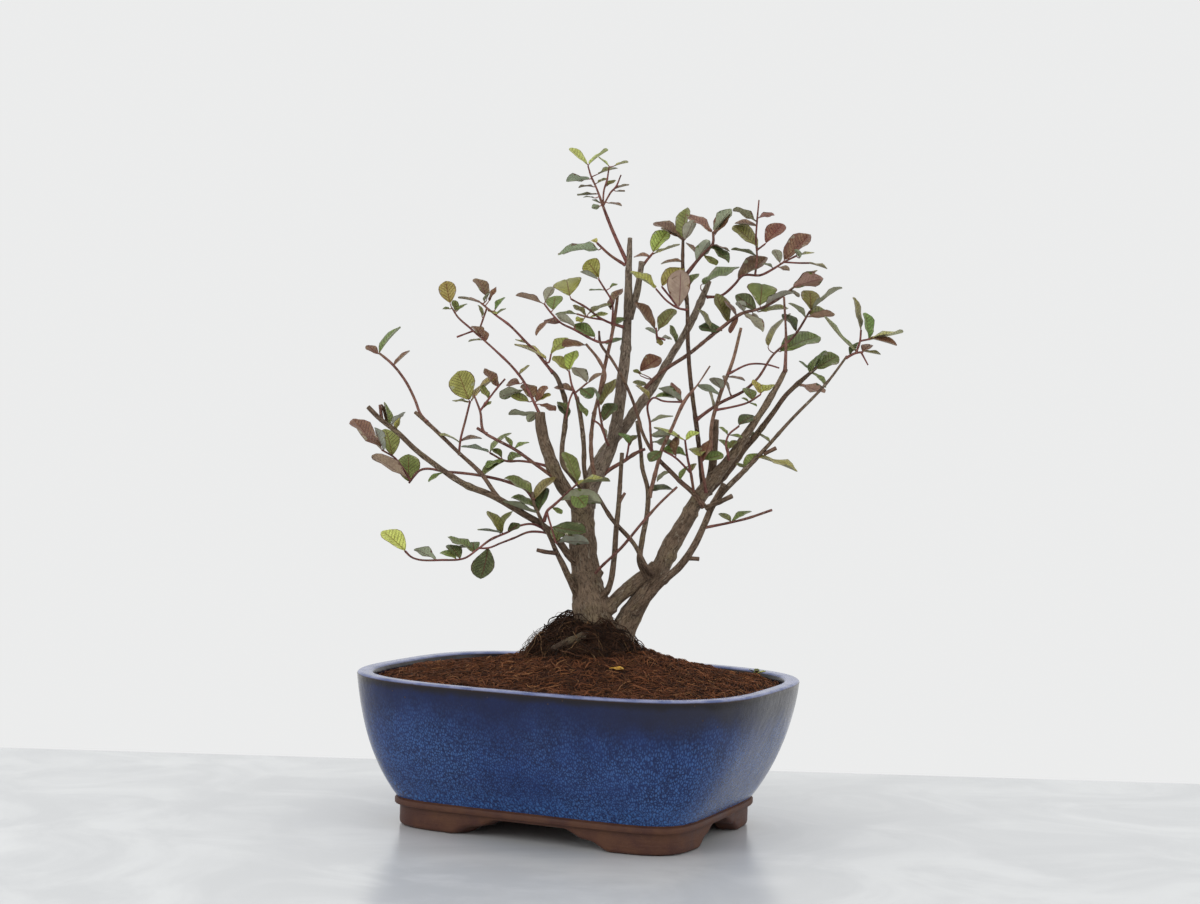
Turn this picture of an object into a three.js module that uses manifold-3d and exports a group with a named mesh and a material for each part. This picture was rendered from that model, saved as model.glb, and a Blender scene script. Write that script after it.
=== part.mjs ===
// A bonsai of New Zealand myrtle in a glazed soft-cornered pot.
// Millimetres, +Z up, X along the pot's long side, the front of the pot towards -Y.
// The tree's stems and leaves are placed by where they are seen from the front left of the pot:
// a picture column and row, and a depth in millimetres behind the middle of the pot.
import * as THREE from "three";
import { mergeVertices } from "three/addons/utils/BufferGeometryUtils.js";
import Module from "manifold-3d";

// Driving dimensions of the pot
const POT_LENGTH = 255;
const POT_WIDTH = 213;
const POT_HEIGHT = 91;
const WALL = 9;
const RIM_EDGE = 2.5;
const BASE_INSET = 31.5;
const BAND_INSET = 30.8;
const FOOT_INSET = 33.4;
const FOOT_HEIGHT = 11.5;
const GLAZE_EDGE = 17.3;
const FLOOR_TOP = 20.5;
const FOOT_THICKNESS = 13;
const RIM_SQUARENESS = 3.2;
const BASE_SQUARENESS = 6.3;
// Powers of the wall's inward fall, of its last turn under, and of its growing squareness
const WALL_FALL = 1.57;
const WALL_TURN = 0.95;
const WALL_SQUARING = 2;
const DRAIN_DIAMETER = 18;
const DRAIN_SPACING = 96;
const POT_SEGMENTS = 36;

// The arch between two feet: half widths at the floor, at both ends of its step, and at its top
const ARCH_STEP_HEIGHT = 5.5;
const ARCH_STEP_RISE = 1;
const ARCH_TOP = 10.8;
const ARCH_SHIFT = 3;
const FRONT_ARCH = { floor: 46, stepOut: 37, stepIn: 30, top: 21 };
const SIDE_ARCH = { floor: 30, stepOut: 23, stepIn: 18, top: 11 };

// Drain mesh and its wire, soil and root ball
const MESH_SIDE = 26;
const MESH_THICKNESS = 1.2;
const MESH_HOLE = 4.6;
const MESH_PITCH = 7.2;
const WIRE = 1.6;
const WIRE_LEG = 7.2;
const WIRE_REACH = 13;
const CLEARANCE = 0.3;
const SOIL_EDGE = 4.5;
const MOUND_HEIGHT = 22;
const MOUND_SPREAD = { x: 74, y: 60 };
const MOUND_PLACE = { x: 12, y: 2 };
const ROOT_BALL = { x: 2, y: 1, z: 90, length: 80, width: 66, height: 66 };
const LEAF_THICKNESS = 0.8;
const TWIG = 1.2;
const LEAF_LENGTH = 15;
const LEAF_BREADTH = 0.72;
// Rings of a leaf from its tip: share of the length, and half breadth as a share of the breadth
const LEAF_RINGS = [[0.82, 0.42], [0.4, 0.42]];
const SEEDLING = [88, 73];
const FALLEN_LEAF = [36, -39];
const WELD = 1e-4;
const SMALLEST = 0.15;
// Leans of a leaf to or from the eye that are tried until it is clear of its neighbours
const LEANS = [0, 3, -3, 6, -6, 9, -9];

// The point of view that the picture columns and rows belong to, found from the pot's rim and feet
const VIEW = {
  turn: THREE.MathUtils.degToRad(24.05),
  tilt: THREE.MathUtils.degToRad(0.19),
  roll: THREE.MathUtils.degToRad(1.74),
  distance: 1220,
  right: 8,
  height: 226.4,
  focal: 2000,
  column: 600,
  row: 452,
};
// A picture step at the middle of the pot, in millimetres
const STEP = VIEW.distance / VIEW.focal;

// Woody stems: each route is a list of [column, row, depth, thickness in mm].
// The first route is the stem, the others are its forks and cut spurs.
const STEMS = {
  trunk_left: [
    [[600, 668, 0, 27], [597, 640, 0, 24], [590, 600, 0, 20], [584, 560, 0, 16.5],
      [582, 520, 0, 14.5], [584, 492, 0, 11]],
  ],
  trunk_right: [
    [[617, 655, 3, 17], [624, 628, 3, 14], [640, 601, 3, 11.5], [655, 578, 4, 11.5],
      [669, 550, 4, 11], [685, 522, 4, 9.8], [697, 500, 4, 9], [709, 484, 2, 8.2],
      [729, 460, 0, 6.4], [750, 429, -3, 4.5], [775, 390, -9, 3.6], [786, 369, -12, 2.6]],
    [[785, 372, -12, 2.4], [786, 340, -12, 1.6], [784, 297, -12, 1.4]],
    [[606, 610, -2, 8], [622, 594, 0, 8], [638, 581, 2, 8.5], [656, 567, 3, 9]],
  ],
  surface_root: [
    [[588, 636, -18, 6.5], [572, 641, -23, 5.5], [558, 647, -20, 4.6], [547, 654, -17, 3.6],
      [538, 663, -14, 2.6]],
  ],
  leader: [
    [[585, 505, 1, 11], [592, 484, 3, 10], [602, 466, 6, 9.4], [611, 446, 9, 7.6],
      [618, 414, 10, 7.3], [622, 381, 10, 6.9], [626, 346, 10, 6.1], [628, 300, 10, 5],
      [629, 262, 10, 3.8], [630, 238, 10, 2.8]],
    [[629, 318, 10, 4.6], [636, 296, 12, 4.4], [642, 262, 14, 3.4]],
  ],
  limb_left: [
    [[582, 508, -2, 9], [570, 496, -6, 8.4], [557, 475, -8, 8], [547, 450, -10, 7.5],
      [541, 425, -12, 6.6], [540, 413, -12, 6.2]],
  ],
  limb_back: [
    [[588, 490, 8, 8], [595, 468, 14, 7.4], [606, 450, 18, 7], [627, 424, 22, 6.4],
      [636, 410, 24, 6], [651, 390, 26, 5.4], [671, 356, 30, 4.4], [688, 328, 34, 4.2],
      [706, 289, 38, 3.8], [709, 281, 38, 3.2]],
  ],
  limb_right_dark: [
    [[706, 492, 6, 5.4], [719, 480, 8, 5.2], [729, 469, 9, 5], [743, 450, 10, 4.6],
      [757, 434, 10, 3.8], [773, 413, 10, 3.2], [787, 394, 12, 3], [802, 380, 14, 2.6],
      [816, 368, 15, 2]],
  ],
  limb_right_front: [
    [[634, 612, -4, 5.8], [648, 597, -9, 5.4], [660, 584, -10, 5], [680, 566, -10, 4.6],
      [694, 546, -10, 4.2], [705, 523, -10, 3.9], [712, 507, -10, 3.7], [725, 490, -11, 3.4],
      [742, 473, -12, 3.2], [763, 451, -14, 2.6], [790, 421, -17, 2], [830, 379, -22, 1.6],
      [847, 356, -24, 1.4]],
    [[685, 558, -10, 2.6], [699, 559, -10, 2.6]],
    [[706, 508, -10, 3], [719, 502, -14, 3], [732, 496, -17, 3.2]],
    [[713, 504, -10, 3.2], [724, 484, -13, 3.6]],
    [[764, 454, -14, 2.2], [776, 448, -15, 2.6]],
    [[703, 528, -10, 1.8], [728, 523, -14, 1.6], [745, 519, -17, 1.5], [772, 510, -20, 1.5]],
  ],
  stump_right: [
    [[707, 493, 9, 5.4], [712, 470, 14, 5.2], [714, 445, 15, 5], [715, 420, 15, 5]],
  ],
  stem_front_left: [
    [[598, 604, -4, 3.8], [609, 587, -10, 3.7], [614, 559, -13, 3.4], [616, 532, -14, 3.2],
      [619, 500, -14, 2.9], [621, 469, -14, 2.6], [622, 453, -14, 2.5]],
    [[619, 502, -14, 2.4], [625, 493, -15, 1.8]],
  ],
  stem_middle: [
    [[648, 578, 0, 4], [640, 562, -5, 3.8], [642, 541, -6, 3.4], [647, 514, -5, 3],
      [648, 491, -2, 2.8], [642, 466, 3, 2.6], [641, 451, 6, 2.4], [637, 421, 7, 2.2]],
  ],
  stem_fork: [
    [[652, 574, -3, 2.9], [646, 566, -9, 2.8], [634, 544, -10, 2.7], [612, 519, -9, 2.6],
      [597, 495, -8, 2.2]],
  ],
  stem_low_cross: [
    [[592, 577, -5, 1.9], [601, 567, -12, 1.8], [621, 548, -19, 1.8], [642, 523, -20, 1.7],
      [660, 503, -20, 1.6], [677, 487, -20, 1.4]],
  ],
  stem_long_cross: [
    [[704, 507, 0, 3.3], [695, 495, -1, 3.2], [681, 482, -2, 3], [669, 470, -3, 2.8],
      [660, 461, -3, 2.5], [652, 451, -4, 2.3], [643, 434, -3, 2.1], [637, 413, 0, 2],
      [626, 385, 1, 1.9], [612, 360, -2, 1.8], [600, 342, -4, 1.6], [599, 331, -5, 1.2]],
  ],
  stem_tan_middle: [
    [[649, 497, -2, 2.6], [652, 486, -4, 2.5], [657, 467, -8, 2.4], [661, 452, -10, 2.3],
      [672, 428, -12, 2.1], [688, 396, -14, 2], [695, 388, -15, 1.2], [710, 366, -16, 1]],
  ],
  stem_dark_tall: [
    [[703, 490, 7, 3], [700, 458, 10, 2.9], [697, 430, 10, 2.8], [695, 415, 10, 2.8],
      [690, 375, 10, 2.7], [688, 344, 10, 2.6], [687, 303, 10, 2.5], [683, 271, 10, 2.3],
      [683, 238, 10, 1.8]],
    [[685, 276, 10, 2.2], [702, 255, 8, 2], [713, 243, 6, 1.8], [713, 232, 6, 1.5]],
  ],
  stem_back_right: [
    [[645, 389, 26, 2.6], [654, 379, 24, 2.5], [666, 369, 21, 2.4], [686, 356, 18, 2.3],
      [720, 329, 14, 2.2], [743, 313, 10, 2], [759, 309, 8, 1.8], [784, 295, 4, 1.6],
      [794, 287, 2, 1.4]],
  ],
  stem_tan_right: [
    [[712, 458, 14, 2.4], [711, 444, 8, 2.4], [711, 430, 6, 2.4], [720, 395, 4, 2.4],
      [733, 360, 0, 2.2], [741, 328, -4, 1.8]],
    [[728, 374, 0, 1.4], [751, 364, -8, 1.2], [769, 365, -13, 1.1], [779, 368, -17, 1]],
    [[716, 410, 4, 1.5], [732, 407, 0, 1.3], [749, 402, -6, 1.2], [760, 395, -10, 1]],
  ],
  stem_right_thin: [
    [[696, 420, 9, 2.3], [708, 411, 12, 2.2], [720, 403, 13, 2.1], [745, 390, 11, 1.9],
      [757, 379, 9, 1.6], [773, 355, 7, 1.5], [794, 336, 4, 1.5], [810, 311, 0, 1.3]],
  ],
  branch_left_long: [
    [[582, 567, -2, 5], [572, 559, -6, 4.6], [560, 543, -9, 4.4], [543, 526, -14, 4.2],
      [522, 513, -19, 4.1], [493, 496, -26, 3.9], [464, 484, -32, 3.7], [441, 469, -36, 3.4],
      [416, 450, -41, 3.1], [397, 432, -45, 3], [378, 417, -48, 2.9], [368, 407, -50, 2.8]],
    [[382, 421, -47, 2], [380, 405, -45, 1.8]],
  ],
  branch_left_upper: [
    [[501, 501, -25, 2.8], [494, 492, -22, 2.7], [483, 476, -20, 2.6], [458, 452, -18, 2.4],
      [432, 427, -16, 2.3], [415, 412, -15, 2.2]],
    [[427, 422, -16, 2], [421, 415, -14, 1.9], [415, 400, -10, 1.7], [406, 382, -6, 1.7],
      [390, 362, -2, 1.6], [379, 353, 0, 1.4]],
  ],
  branch_left_side: [
    [[578, 598, -2, 4.6], [570, 580, -9, 4.2], [562, 563, -13, 3.6], [556, 551, -16, 3],
      [550, 537, -19, 2.6], [543, 524, -20, 2.3], [539, 515, -20, 2.1], [534, 504, -20, 1.9],
      [532, 492, -19, 1.6]],
    [[557, 553, -16, 2.6], [546, 552, -17, 2.5], [537, 550, -18, 2.4]],
  ],
  stem_left_b: [
    [[581, 487, -4, 3.2], [570, 474, -8, 3.1], [563, 465, -9, 3], [562, 450, -9, 3],
      [565, 425, -7, 3], [566, 405, -6, 3], [562, 390, -6, 2.9], [556, 376, -6, 2.7],
      [550, 369, -5, 2]],
  ],
  stem_left_c: [
    [[587, 487, -2, 3], [584, 465, -9, 2.8], [584, 450, -10, 2.8], [581, 420, -10, 2.7],
      [577, 397, -10, 2.4]],
  ],
  stem_left_d: [
    [[595, 480, 0, 2.6], [592, 462, -2, 2.5], [591, 440, -3, 2.4], [594, 415, -4, 2.3],
      [600, 392, -5, 2.2], [605, 374, -5, 2], [600, 362, -6, 1.9], [586, 344, -8, 1.5]],
    [[594, 414, -4, 2.2], [600, 390, 0, 2.3], [605, 365, 3, 2.3], [612, 334, 5, 2.2],
      [617, 301, 6, 1.9], [618, 292, 6, 1.5]],
  ],
  branch_left_thin: [
    [[534, 500, -20, 2], [525, 489, -14, 1.9], [508, 482, -9, 1.9], [483, 476, -4, 1.8],
      [449, 472, 4, 1.7], [419, 471, 10, 1.5], [409, 483, 12, 1.3]],
    [[411, 481, 12, 1.3], [404, 470, 8, 1.2], [395, 458, 3, 1.2], [382, 450, -2, 1.2]],
  ],
  stem_left_thin: [
    [[553, 477, -9, 2.2], [535, 464, -14, 2.1], [514, 449, -18, 2], [495, 439, -20, 1.9],
      [485, 433, -21, 1.8], [480, 411, -16, 1.5], [474, 395, -12, 1.1]],
    [[480, 411, -16, 1.3], [488, 400, -14, 1.2], [498, 387, -10, 1.2], [505, 379, -8, 1.1]],
    [[487, 434, -21, 1.8], [477, 428, -22, 1.8]],
  ],
};

// Leafy shoots: the routes of their twigs, as above; a twig without a thickness is TWIG thick.
const SHOOTS = {
  shoot_apex: [
    [[628, 264, 10, 2.6], [618, 243, 12, 2.4], [609, 222, 14, 2.1], [603, 206, 15, 1.8],
      [596, 187, 16], [591, 176, 18], [588, 166, 20, 0.9]],
    [[603, 206, 15], [604, 190, 13], [607, 180, 11], [609, 167, 10, 0.9]],
    [[603, 206, 15], [608, 197, 14], [611, 192, 12], [615, 188, 10], [621, 175, 6, 0.9]],
  ],
  shoot_leader_left: [
    [[625, 265, 10, 1.8], [610, 255, 6, 1.7], [597, 243, 2, 1.4]],
  ],
  shoot_upper_middle: [
    [[623, 327, 7, 1.6], [608, 322, 2, 1.5], [600, 318, -2, 1.4], [587, 308, -8], [571, 299, -14]],
    [[604, 320, 0], [587, 317, -6], [577, 314, -9]],
    [[612, 323, 3], [612, 302, -3], [604, 288, -7], [599, 280, -9]],
  ],
  shoot_middle_left: [
    [[611, 341, 3, 1.5], [599, 342, -9, 1.5], [573, 329, -15, 1.4], [561, 323, -18],
      [552, 314, -20], [545, 305, -22]],
  ],
  shoot_upper_left_a: [
    [[540, 415, -12, 2], [531, 396, -8, 1.8], [524, 382, -4, 1.7], [515, 370, 0, 1.6],
      [496, 351, 6, 1.5], [486, 342, 9, 1.4], [470, 328, 13, 1.3], [457, 316, 17],
      [452, 308, 19, 1]],
    [[473, 331, 12], [457, 337, 8]],
  ],
  shoot_upper_left_b: [
    [[553, 373, -6, 2], [535, 351, 0, 1.7], [526, 342, 3, 1.6], [508, 324, 8, 1.5],
      [497, 316, 11, 1.4], [487, 308, 14, 1.3], [481, 303, 16]],
    [[543, 361, -3], [549, 362, -8], [551, 354, -9]],
    [[487, 308, 14], [480, 328, 18]],
  ],
  shoot_lime: [
    [[577, 399, -10, 2], [572, 386, -10, 1.4], [569, 371, -10]],
    [[575, 393, -11], [587, 383, -15]],
    [[574, 390, -10], [570, 399, -14], [566, 418, -15]],
  ],
  shoot_leader_low: [
    [[609, 446, 7, 1.6], [606, 440, -2, 1.5], [602, 425, -7, 1.4], [598, 401, -11]],
    [[604, 433, -5, 1.4], [599, 424, -8], [593, 420, -10]],
  ],
  shoot_leader_right: [
    [[604, 474, 4, 2.4], [612, 468, 2, 2.4], [624, 461, 1, 2.3], [636, 453, 0, 2.2],
      [645, 449, 0, 1.8]],
    [[626, 460, 1, 1.3], [628, 450, -3], [629, 443, -5]],
  ],
  shoot_centre: [
    [[652, 453, -4, 1.8], [651, 440, -8, 1.6], [650, 424, -10, 1.5], [649, 402, -12, 1.3],
      [653, 398, -13], [663, 401, -13], [681, 402, -11]],
  ],
  shoot_centre_right: [
    [[694, 494, -1, 1.8], [691, 474, -7, 1.6], [687, 455, -10, 1.5], [685, 440, -12]],
    [[690, 472, -7, 1.4], [673, 456, -15], [664, 451, -17]],
  ],
  shoot_trunk_right: [
    [[706, 492, -1, 2], [703, 474, -8, 1.8], [701, 458, -10, 1.5]],
  ],
  shoot_right_inner: [
    [[729, 461, -2, 1.6], [728, 455, -6, 1.3], [728, 450, -7]],
    [[728, 455, -6, 1.3], [726, 444, -7], [728, 436, -6], [739, 426, -8]],
  ],
  shoot_tan_spur: [
    [[641, 268, 14, 2], [647, 260, 14, 1.6], [653, 253, 14, 1.2]],
  ],
  shoot_hub: [
    [[687, 310, 9, 1.6], [678, 308, 4, 1.4], [667, 301, 0], [656, 289, -3]],
    [[678, 308, 4], [670, 297, 3], [662, 287, 2]],
  ],
  shoot_back_low: [
    [[658, 342, 6, 1.6], [657, 337, 0, 1.5], [656, 328, -3]],
    [[657, 337, 0], [665, 340, -4]],
  ],
  shoot_top_right: [
    [[707, 297, 38, 1.9], [720, 296, 34, 1.7], [735, 284, 30, 1.6], [742, 276, 28, 1.6],
      [761, 275, 26, 1.5], [773, 269, 24, 1.4], [784, 262, 22, 1.3], [796, 256, 20]],
    [[755, 276, 27, 1.4], [757, 258, 28, 1.3], [756, 240, 29, 1.2], [757, 222, 30, 1.1],
      [759, 200, 30, 0.9]],
    [[757, 250, 28], [765, 244, 26]],
    [[783, 262, 22], [799, 263, 20], [809, 263, 18]],
  ],
  shoot_far_right: [
    [[846, 358, -24, 1.6], [856, 353, -26, 1.4], [863, 352, -27]],
    [[856, 353, -26, 1.4], [860, 341, -28, 1.3], [861, 330, -29]],
    [[860, 341, -28], [870, 339, -30]],
    [[861, 352, -27], [868, 365, -28, 0.9]],
  ],
  shoot_left_red: [
    [[459, 455, -18, 1.5], [460, 443, -16, 1.4], [466, 418, -12, 1.4], [470, 402, -9, 1.3]],
  ],
  shoot_left_low: [
    [[545, 529, -15, 1.7], [531, 524, -21, 1.4], [519, 526, -25, 1.3], [508, 532, -29, 1.3],
      [490, 540, -34, 1.3], [478, 549, -38], [465, 558, -42], [443, 560, -46], [410, 556, -52],
      [405, 551, -54]],
  ],
  shoot_left_hang: [
    [[550, 534, -11, 1.5], [541, 532, -6, 1.4], [529, 532, -1, 1.4], [514, 538, 4, 1.3],
      [501, 543, 8], [488, 548, 12], [476, 548, 15]],
  ],
  shoot_left_middle: [
    [[549, 467, -10, 1.9], [543, 465, -7, 1.7], [535, 463, -5, 1.6], [520, 461, -1, 1.5],
      [506, 461, 2, 1.4], [490, 453, 5]],
  ],
  shoot_centre_left: [
    [[544, 521, -21, 2], [548, 510, -26, 1.8], [554, 505, -28, 1.7], [564, 496, -30, 1.5],
      [577, 484, -31]],
    [[547, 513, -25, 1.4], [551, 526, -29], [556, 543, -31]],
  ],
};

// Leaves by the stem or shoot that bears them: column and row of the base, column and row of the tip,
// seen width in picture steps, and a tone: B bronze, O olive, G green, D dark green, L lime,
// Y yellow-green, S silvery underside, P pinkish underside.
const LEAVES = {
  shoot_apex: [
    [588, 165, 569, 148, 7, "L"], [589, 164, 607, 147, 6, "L"], [609, 166, 599, 156, 3, "L"],
    [614, 166, 628, 160, 3, "Y"], [598, 174, 617, 165, 5, "O"], [590, 179, 566, 181, 5, "S"],
    [594, 187, 579, 183, 3, "B"], [597, 194, 577, 194, 2, "B"], [594, 198, 584, 194, 2, "B"],
    [600, 203, 592, 199, 3, "D"], [600, 206, 592, 207, 5, "S"], [597, 183, 608, 177, 4, "O"],
    [607, 186, 615, 178, 6, "O"], [614, 189, 629, 183, 3, "B"], [615, 191, 625, 192, 2, "B"],
    [608, 203, 622, 205, 3, "B"],
  ],
  shoot_leader_left: [
    [597, 243, 592, 238, 6, "Y"], [599, 250, 558, 248, 7, "S"],
  ],
  shoot_upper_middle: [
    [599, 278, 587, 259, 19, "Y"], [570, 296, 565, 272, 30, "Y"], [598, 279, 580, 273, 2, "S"],
    [610, 288, 617, 282, 4, "G"], [604, 290, 589, 289, 2, "G"], [577, 314, 555, 312, 6, "O"],
    [586, 315, 573, 304, 7, "O"], [588, 314, 610, 300, 7, "O"], [590, 317, 608, 313, 5, "L"],
    [610, 309, 620, 286, 8, "B"], [584, 319, 576, 322, 7, "Y"],
  ],
  shoot_middle_left: [
    [553, 310, 555, 293, 17, "G"], [545, 302, 553, 287, 7, "S"], [542, 303, 516, 295, 4, "P"],
    [560, 323, 544, 320, 8, "B"], [551, 320, 534, 332, 6, "B"], [575, 326, 556, 317, 8, "S"],
    [595, 337, 573, 326, 11, "G"],
  ],
  shoot_upper_left_a: [
    [450, 303, 445, 280, 18, "Y"], [455, 311, 454, 300, 7, "G"], [457, 311, 466, 302, 5, "G"],
    [450, 309, 442, 308, 4, "G"], [483, 338, 473, 324, 10, "B"], [486, 341, 481, 329, 8, "B"],
    [482, 340, 468, 339, 2, "O"], [520, 384, 506, 381, 10, "B"], [524, 390, 499, 395, 8, "S"],
    [529, 402, 512, 395, 10, "O"], [532, 399, 525, 382, 13, "B"], [536, 402, 545, 385, 10, "B"],
    [518, 375, 530, 366, 3, "O"], [537, 413, 508, 416, 6, "S"], [538, 412, 527, 420, 8, "S"],
    [539, 404, 556, 411, 6, "B"], [537, 401, 551, 395, 4, "Y"],
  ],
  shoot_upper_left_b: [
    [482, 317, 480, 304, 4, "O"], [481, 303, 458, 295, 4, "B"], [487, 298, 478, 275, 12, "B"],
    [489, 301, 497, 287, 6, "B"], [484, 303, 487, 292, 4, "S"], [495, 310, 504, 296, 6, "G"],
    [497, 314, 505, 307, 3, "G"], [488, 311, 498, 314, 3, "L"], [527, 343, 515, 340, 2, "Y"],
    [546, 359, 516, 340, 4, "Y"], [551, 354, 567, 336, 13, "L"],
  ],
  shoot_lime: [
    [569, 370, 574, 349, 14, "L"], [568, 371, 553, 356, 8, "L"], [587, 382, 574, 366, 12, "S"],
    [588, 383, 603, 372, 5, "B"], [574, 391, 554, 385, 9, "B"], [580, 388, 593, 397, 11, "D"],
    [568, 412, 558, 401, 8, "D"], [567, 419, 560, 403, 11, "D"], [576, 401, 588, 415, 6, "G"],
  ],
  stem_left_d: [
    [586, 345, 562, 347, 8, "B"],
  ],
  shoot_leader_low: [
    [603, 421, 614, 401, 14, "D"], [606, 438, 603, 427, 5, "S"], [600, 405, 617, 379, 12, "O"],
    [598, 401, 595, 386, 5, "S"],
  ],
  shoot_leader_right: [
    [629, 444, 622, 430, 9, "G"], [629, 446, 636, 434, 5, "D"],
  ],
  shoot_centre: [
    [651, 422, 672, 413, 5, "S"], [652, 442, 674, 444, 7, "S"], [651, 436, 670, 434, 8, "S"],
    [655, 397, 675, 395, 6, "G"], [681, 401, 659, 387, 6, "S"], [682, 402, 670, 383, 6, "B"],
    [650, 400, 638, 383, 7, "O"],
  ],
  shoot_centre_right: [
    [684, 440, 654, 427, 6, "L"], [686, 440, 699, 430, 8, "L"], [687, 456, 664, 448, 7, "G"],
    [676, 456, 677, 434, 7, "B"], [688, 466, 680, 479, 5, "G"], [691, 472, 694, 462, 7, "O"],
    [661, 451, 649, 460, 11, "D"],
  ],
  shoot_trunk_right: [
    [701, 457, 699, 443, 24, "Y"], [703, 460, 724, 455, 9, "G"], [702, 462, 712, 440, 9, "B"],
  ],
  stem_middle: [
    [650, 491, 673, 487, 8, "D"],
  ],
  stem_long_cross: [
    [671, 472, 656, 477, 4, "S"],
  ],
  shoot_right_inner: [
    [728, 449, 721, 437, 9, "G"], [729, 449, 736, 440, 6, "G"], [739, 425, 755, 413, 12, "D"],
    [728, 435, 720, 426, 4, "G"], [730, 435, 742, 438, 3, "G"],
  ],
  stem_tan_right: [
    [761, 394, 754, 380, 9, "Y"], [761, 393, 777, 382, 10, "Y"], [752, 400, 749, 386, 14, "G"],
    [749, 402, 742, 397, 3, "G"], [750, 403, 757, 406, 3, "G"], [722, 390, 713, 375, 11, "S"],
    [728, 377, 745, 379, 4, "B"], [720, 395, 697, 385, 6, "S"],
  ],
  shoot_tan_spur: [
    [653, 252, 668, 229, 15, "L"], [653, 254, 680, 243, 4, "Y"], [650, 257, 634, 253, 6, "B"],
  ],
  shoot_hub: [
    [656, 288, 630, 271, 8, "Y"], [662, 286, 682, 263, 15, "Y"], [679, 307, 681, 271, 25, "P"],
  ],
  shoot_back_low: [
    [658, 331, 675, 308, 13, "O"], [655, 329, 634, 303, 10, "B"], [657, 335, 646, 327, 3, "S"],
    [661, 338, 672, 338, 3, "S"], [658, 338, 661, 345, 6, "O"],
  ],
  leader: [
    [627, 318, 611, 324, 8, "G"], [625, 338, 606, 346, 6, "G"],
  ],
  limb_back: [
    [640, 371, 661, 356, 16, "B"], [648, 386, 633, 382, 7, "O"], [676, 343, 670, 325, 8, "G"],
    [642, 374, 633, 371, 4, "O"],
  ],
  stem_dark_tall: [
    [682, 240, 656, 218, 13, "B"], [681, 238, 662, 226, 3, "B"], [683, 238, 686, 206, 14, "O"],
    [685, 240, 693, 222, 12, "S"], [712, 232, 688, 211, 12, "B"], [714, 231, 730, 209, 9, "S"],
    [715, 235, 731, 210, 12, "B"], [683, 262, 661, 259, 6, "B"], [700, 257, 686, 242, 4, "B"],
    [696, 261, 709, 241, 14, "S"], [710, 246, 730, 260, 11, "D"], [712, 245, 730, 250, 4, "B"],
    [704, 255, 716, 266, 9, "O"], [689, 286, 697, 271, 8, "G"],
  ],
  shoot_top_right: [
    [758, 248, 735, 223, 16, "O"], [757, 226, 735, 222, 6, "B"], [757, 222, 733, 209, 4, "S"],
    [758, 218, 774, 214, 4, "P"], [766, 243, 783, 221, 13, "B"], [738, 279, 769, 258, 13, "B"],
    [756, 256, 733, 245, 4, "D"], [784, 260, 812, 235, 16, "B"], [780, 263, 774, 250, 8, "S"],
    [800, 258, 796, 249, 6, "S"], [797, 255, 815, 252, 2, "Y"], [808, 263, 827, 268, 4, "O"],
    [778, 267, 790, 270, 4, "P"], [773, 268, 763, 262, 3, "S"], [702, 284, 740, 264, 13, "G"],
  ],
  stem_back_right: [
    [760, 306, 765, 276, 31, "G"], [756, 310, 736, 295, 16, "D"], [744, 312, 738, 301, 8, "S"],
    [765, 306, 790, 288, 7, "S"], [793, 287, 822, 277, 14, "P"], [794, 286, 816, 270, 6, "P"],
    [722, 331, 699, 326, 12, "D"], [728, 322, 714, 295, 13, "O"], [712, 333, 701, 306, 9, "O"],
    [738, 318, 725, 300, 6, "B"], [752, 312, 758, 321, 5, "S"], [738, 317, 729, 333, 6, "B"],
    [744, 314, 765, 329, 8, "S"], [758, 312, 789, 306, 7, "O"], [790, 290, 800, 296, 4, "S"],
  ],
  stem_right_thin: [
    [768, 346, 783, 308, 10, "O"], [796, 331, 786, 311, 10, "D"], [780, 352, 820, 330, 19, "G"],
    [806, 318, 790, 301, 4, "S"], [811, 310, 811, 287, 20, "O"], [811, 310, 838, 285, 4, "S"],
    [809, 314, 830, 307, 10, "O"], [808, 317, 834, 316, 6, "P"], [713, 408, 711, 388, 4, "O"],
    [731, 397, 724, 375, 4, "B"],
  ],
  limb_right_dark: [
    [816, 369, 839, 354, 14, "G"], [816, 368, 825, 349, 6, "G"], [810, 373, 815, 356, 7, "G"],
    [799, 384, 826, 393, 9, "P"], [812, 371, 799, 361, 4, "G"], [811, 373, 828, 382, 5, "G"],
    [756, 436, 748, 433, 6, "D"], [758, 434, 770, 441, 3, "G"],
  ],
  limb_right_front: [
    [731, 522, 721, 511, 8, "G"], [732, 522, 751, 509, 6, "G"], [747, 470, 757, 453, 11, "G"],
    [758, 457, 797, 469, 5, "Y"], [746, 469, 737, 463, 4, "D"],
  ],
  shoot_far_right: [
    [850, 355, 859, 341, 6, "D"], [863, 352, 872, 342, 9, "B"], [863, 351, 880, 355, 4, "O"],
    [857, 352, 822, 320, 8, "G"], [861, 330, 853, 297, 9, "O"], [869, 339, 866, 312, 11, "G"],
    [870, 338, 896, 345, 7, "B"], [868, 340, 905, 332, 4, "Y"],
  ],
  branch_left_long: [
    [389, 425, 383, 402, 5, "G"], [390, 426, 405, 411, 3, "S"], [396, 431, 400, 416, 7, "Y"],
    [387, 424, 380, 404, 4, "B"],
  ],
  branch_left_upper: [
    [379, 353, 397, 324, 11, "G"], [378, 354, 366, 345, 8, "B"], [393, 366, 409, 350, 7, "B"],
  ],
  branch_left_thin: [
    [409, 482, 407, 452, 24, "G"], [407, 478, 374, 454, 12, "P"], [382, 450, 350, 420, 10, "B"],
    [392, 456, 386, 427, 19, "O"], [384, 451, 376, 427, 8, "S"], [444, 472, 428, 480, 4, "G"],
  ],
  branch_left_side: [
    [534, 500, 552, 474, 10, "O"], [533, 495, 505, 476, 10, "G"], [539, 512, 543, 486, 15, "D"],
    [537, 508, 511, 497, 7, "G"], [538, 513, 503, 504, 6, "S"],
  ],
  shoot_left_red: [
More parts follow.
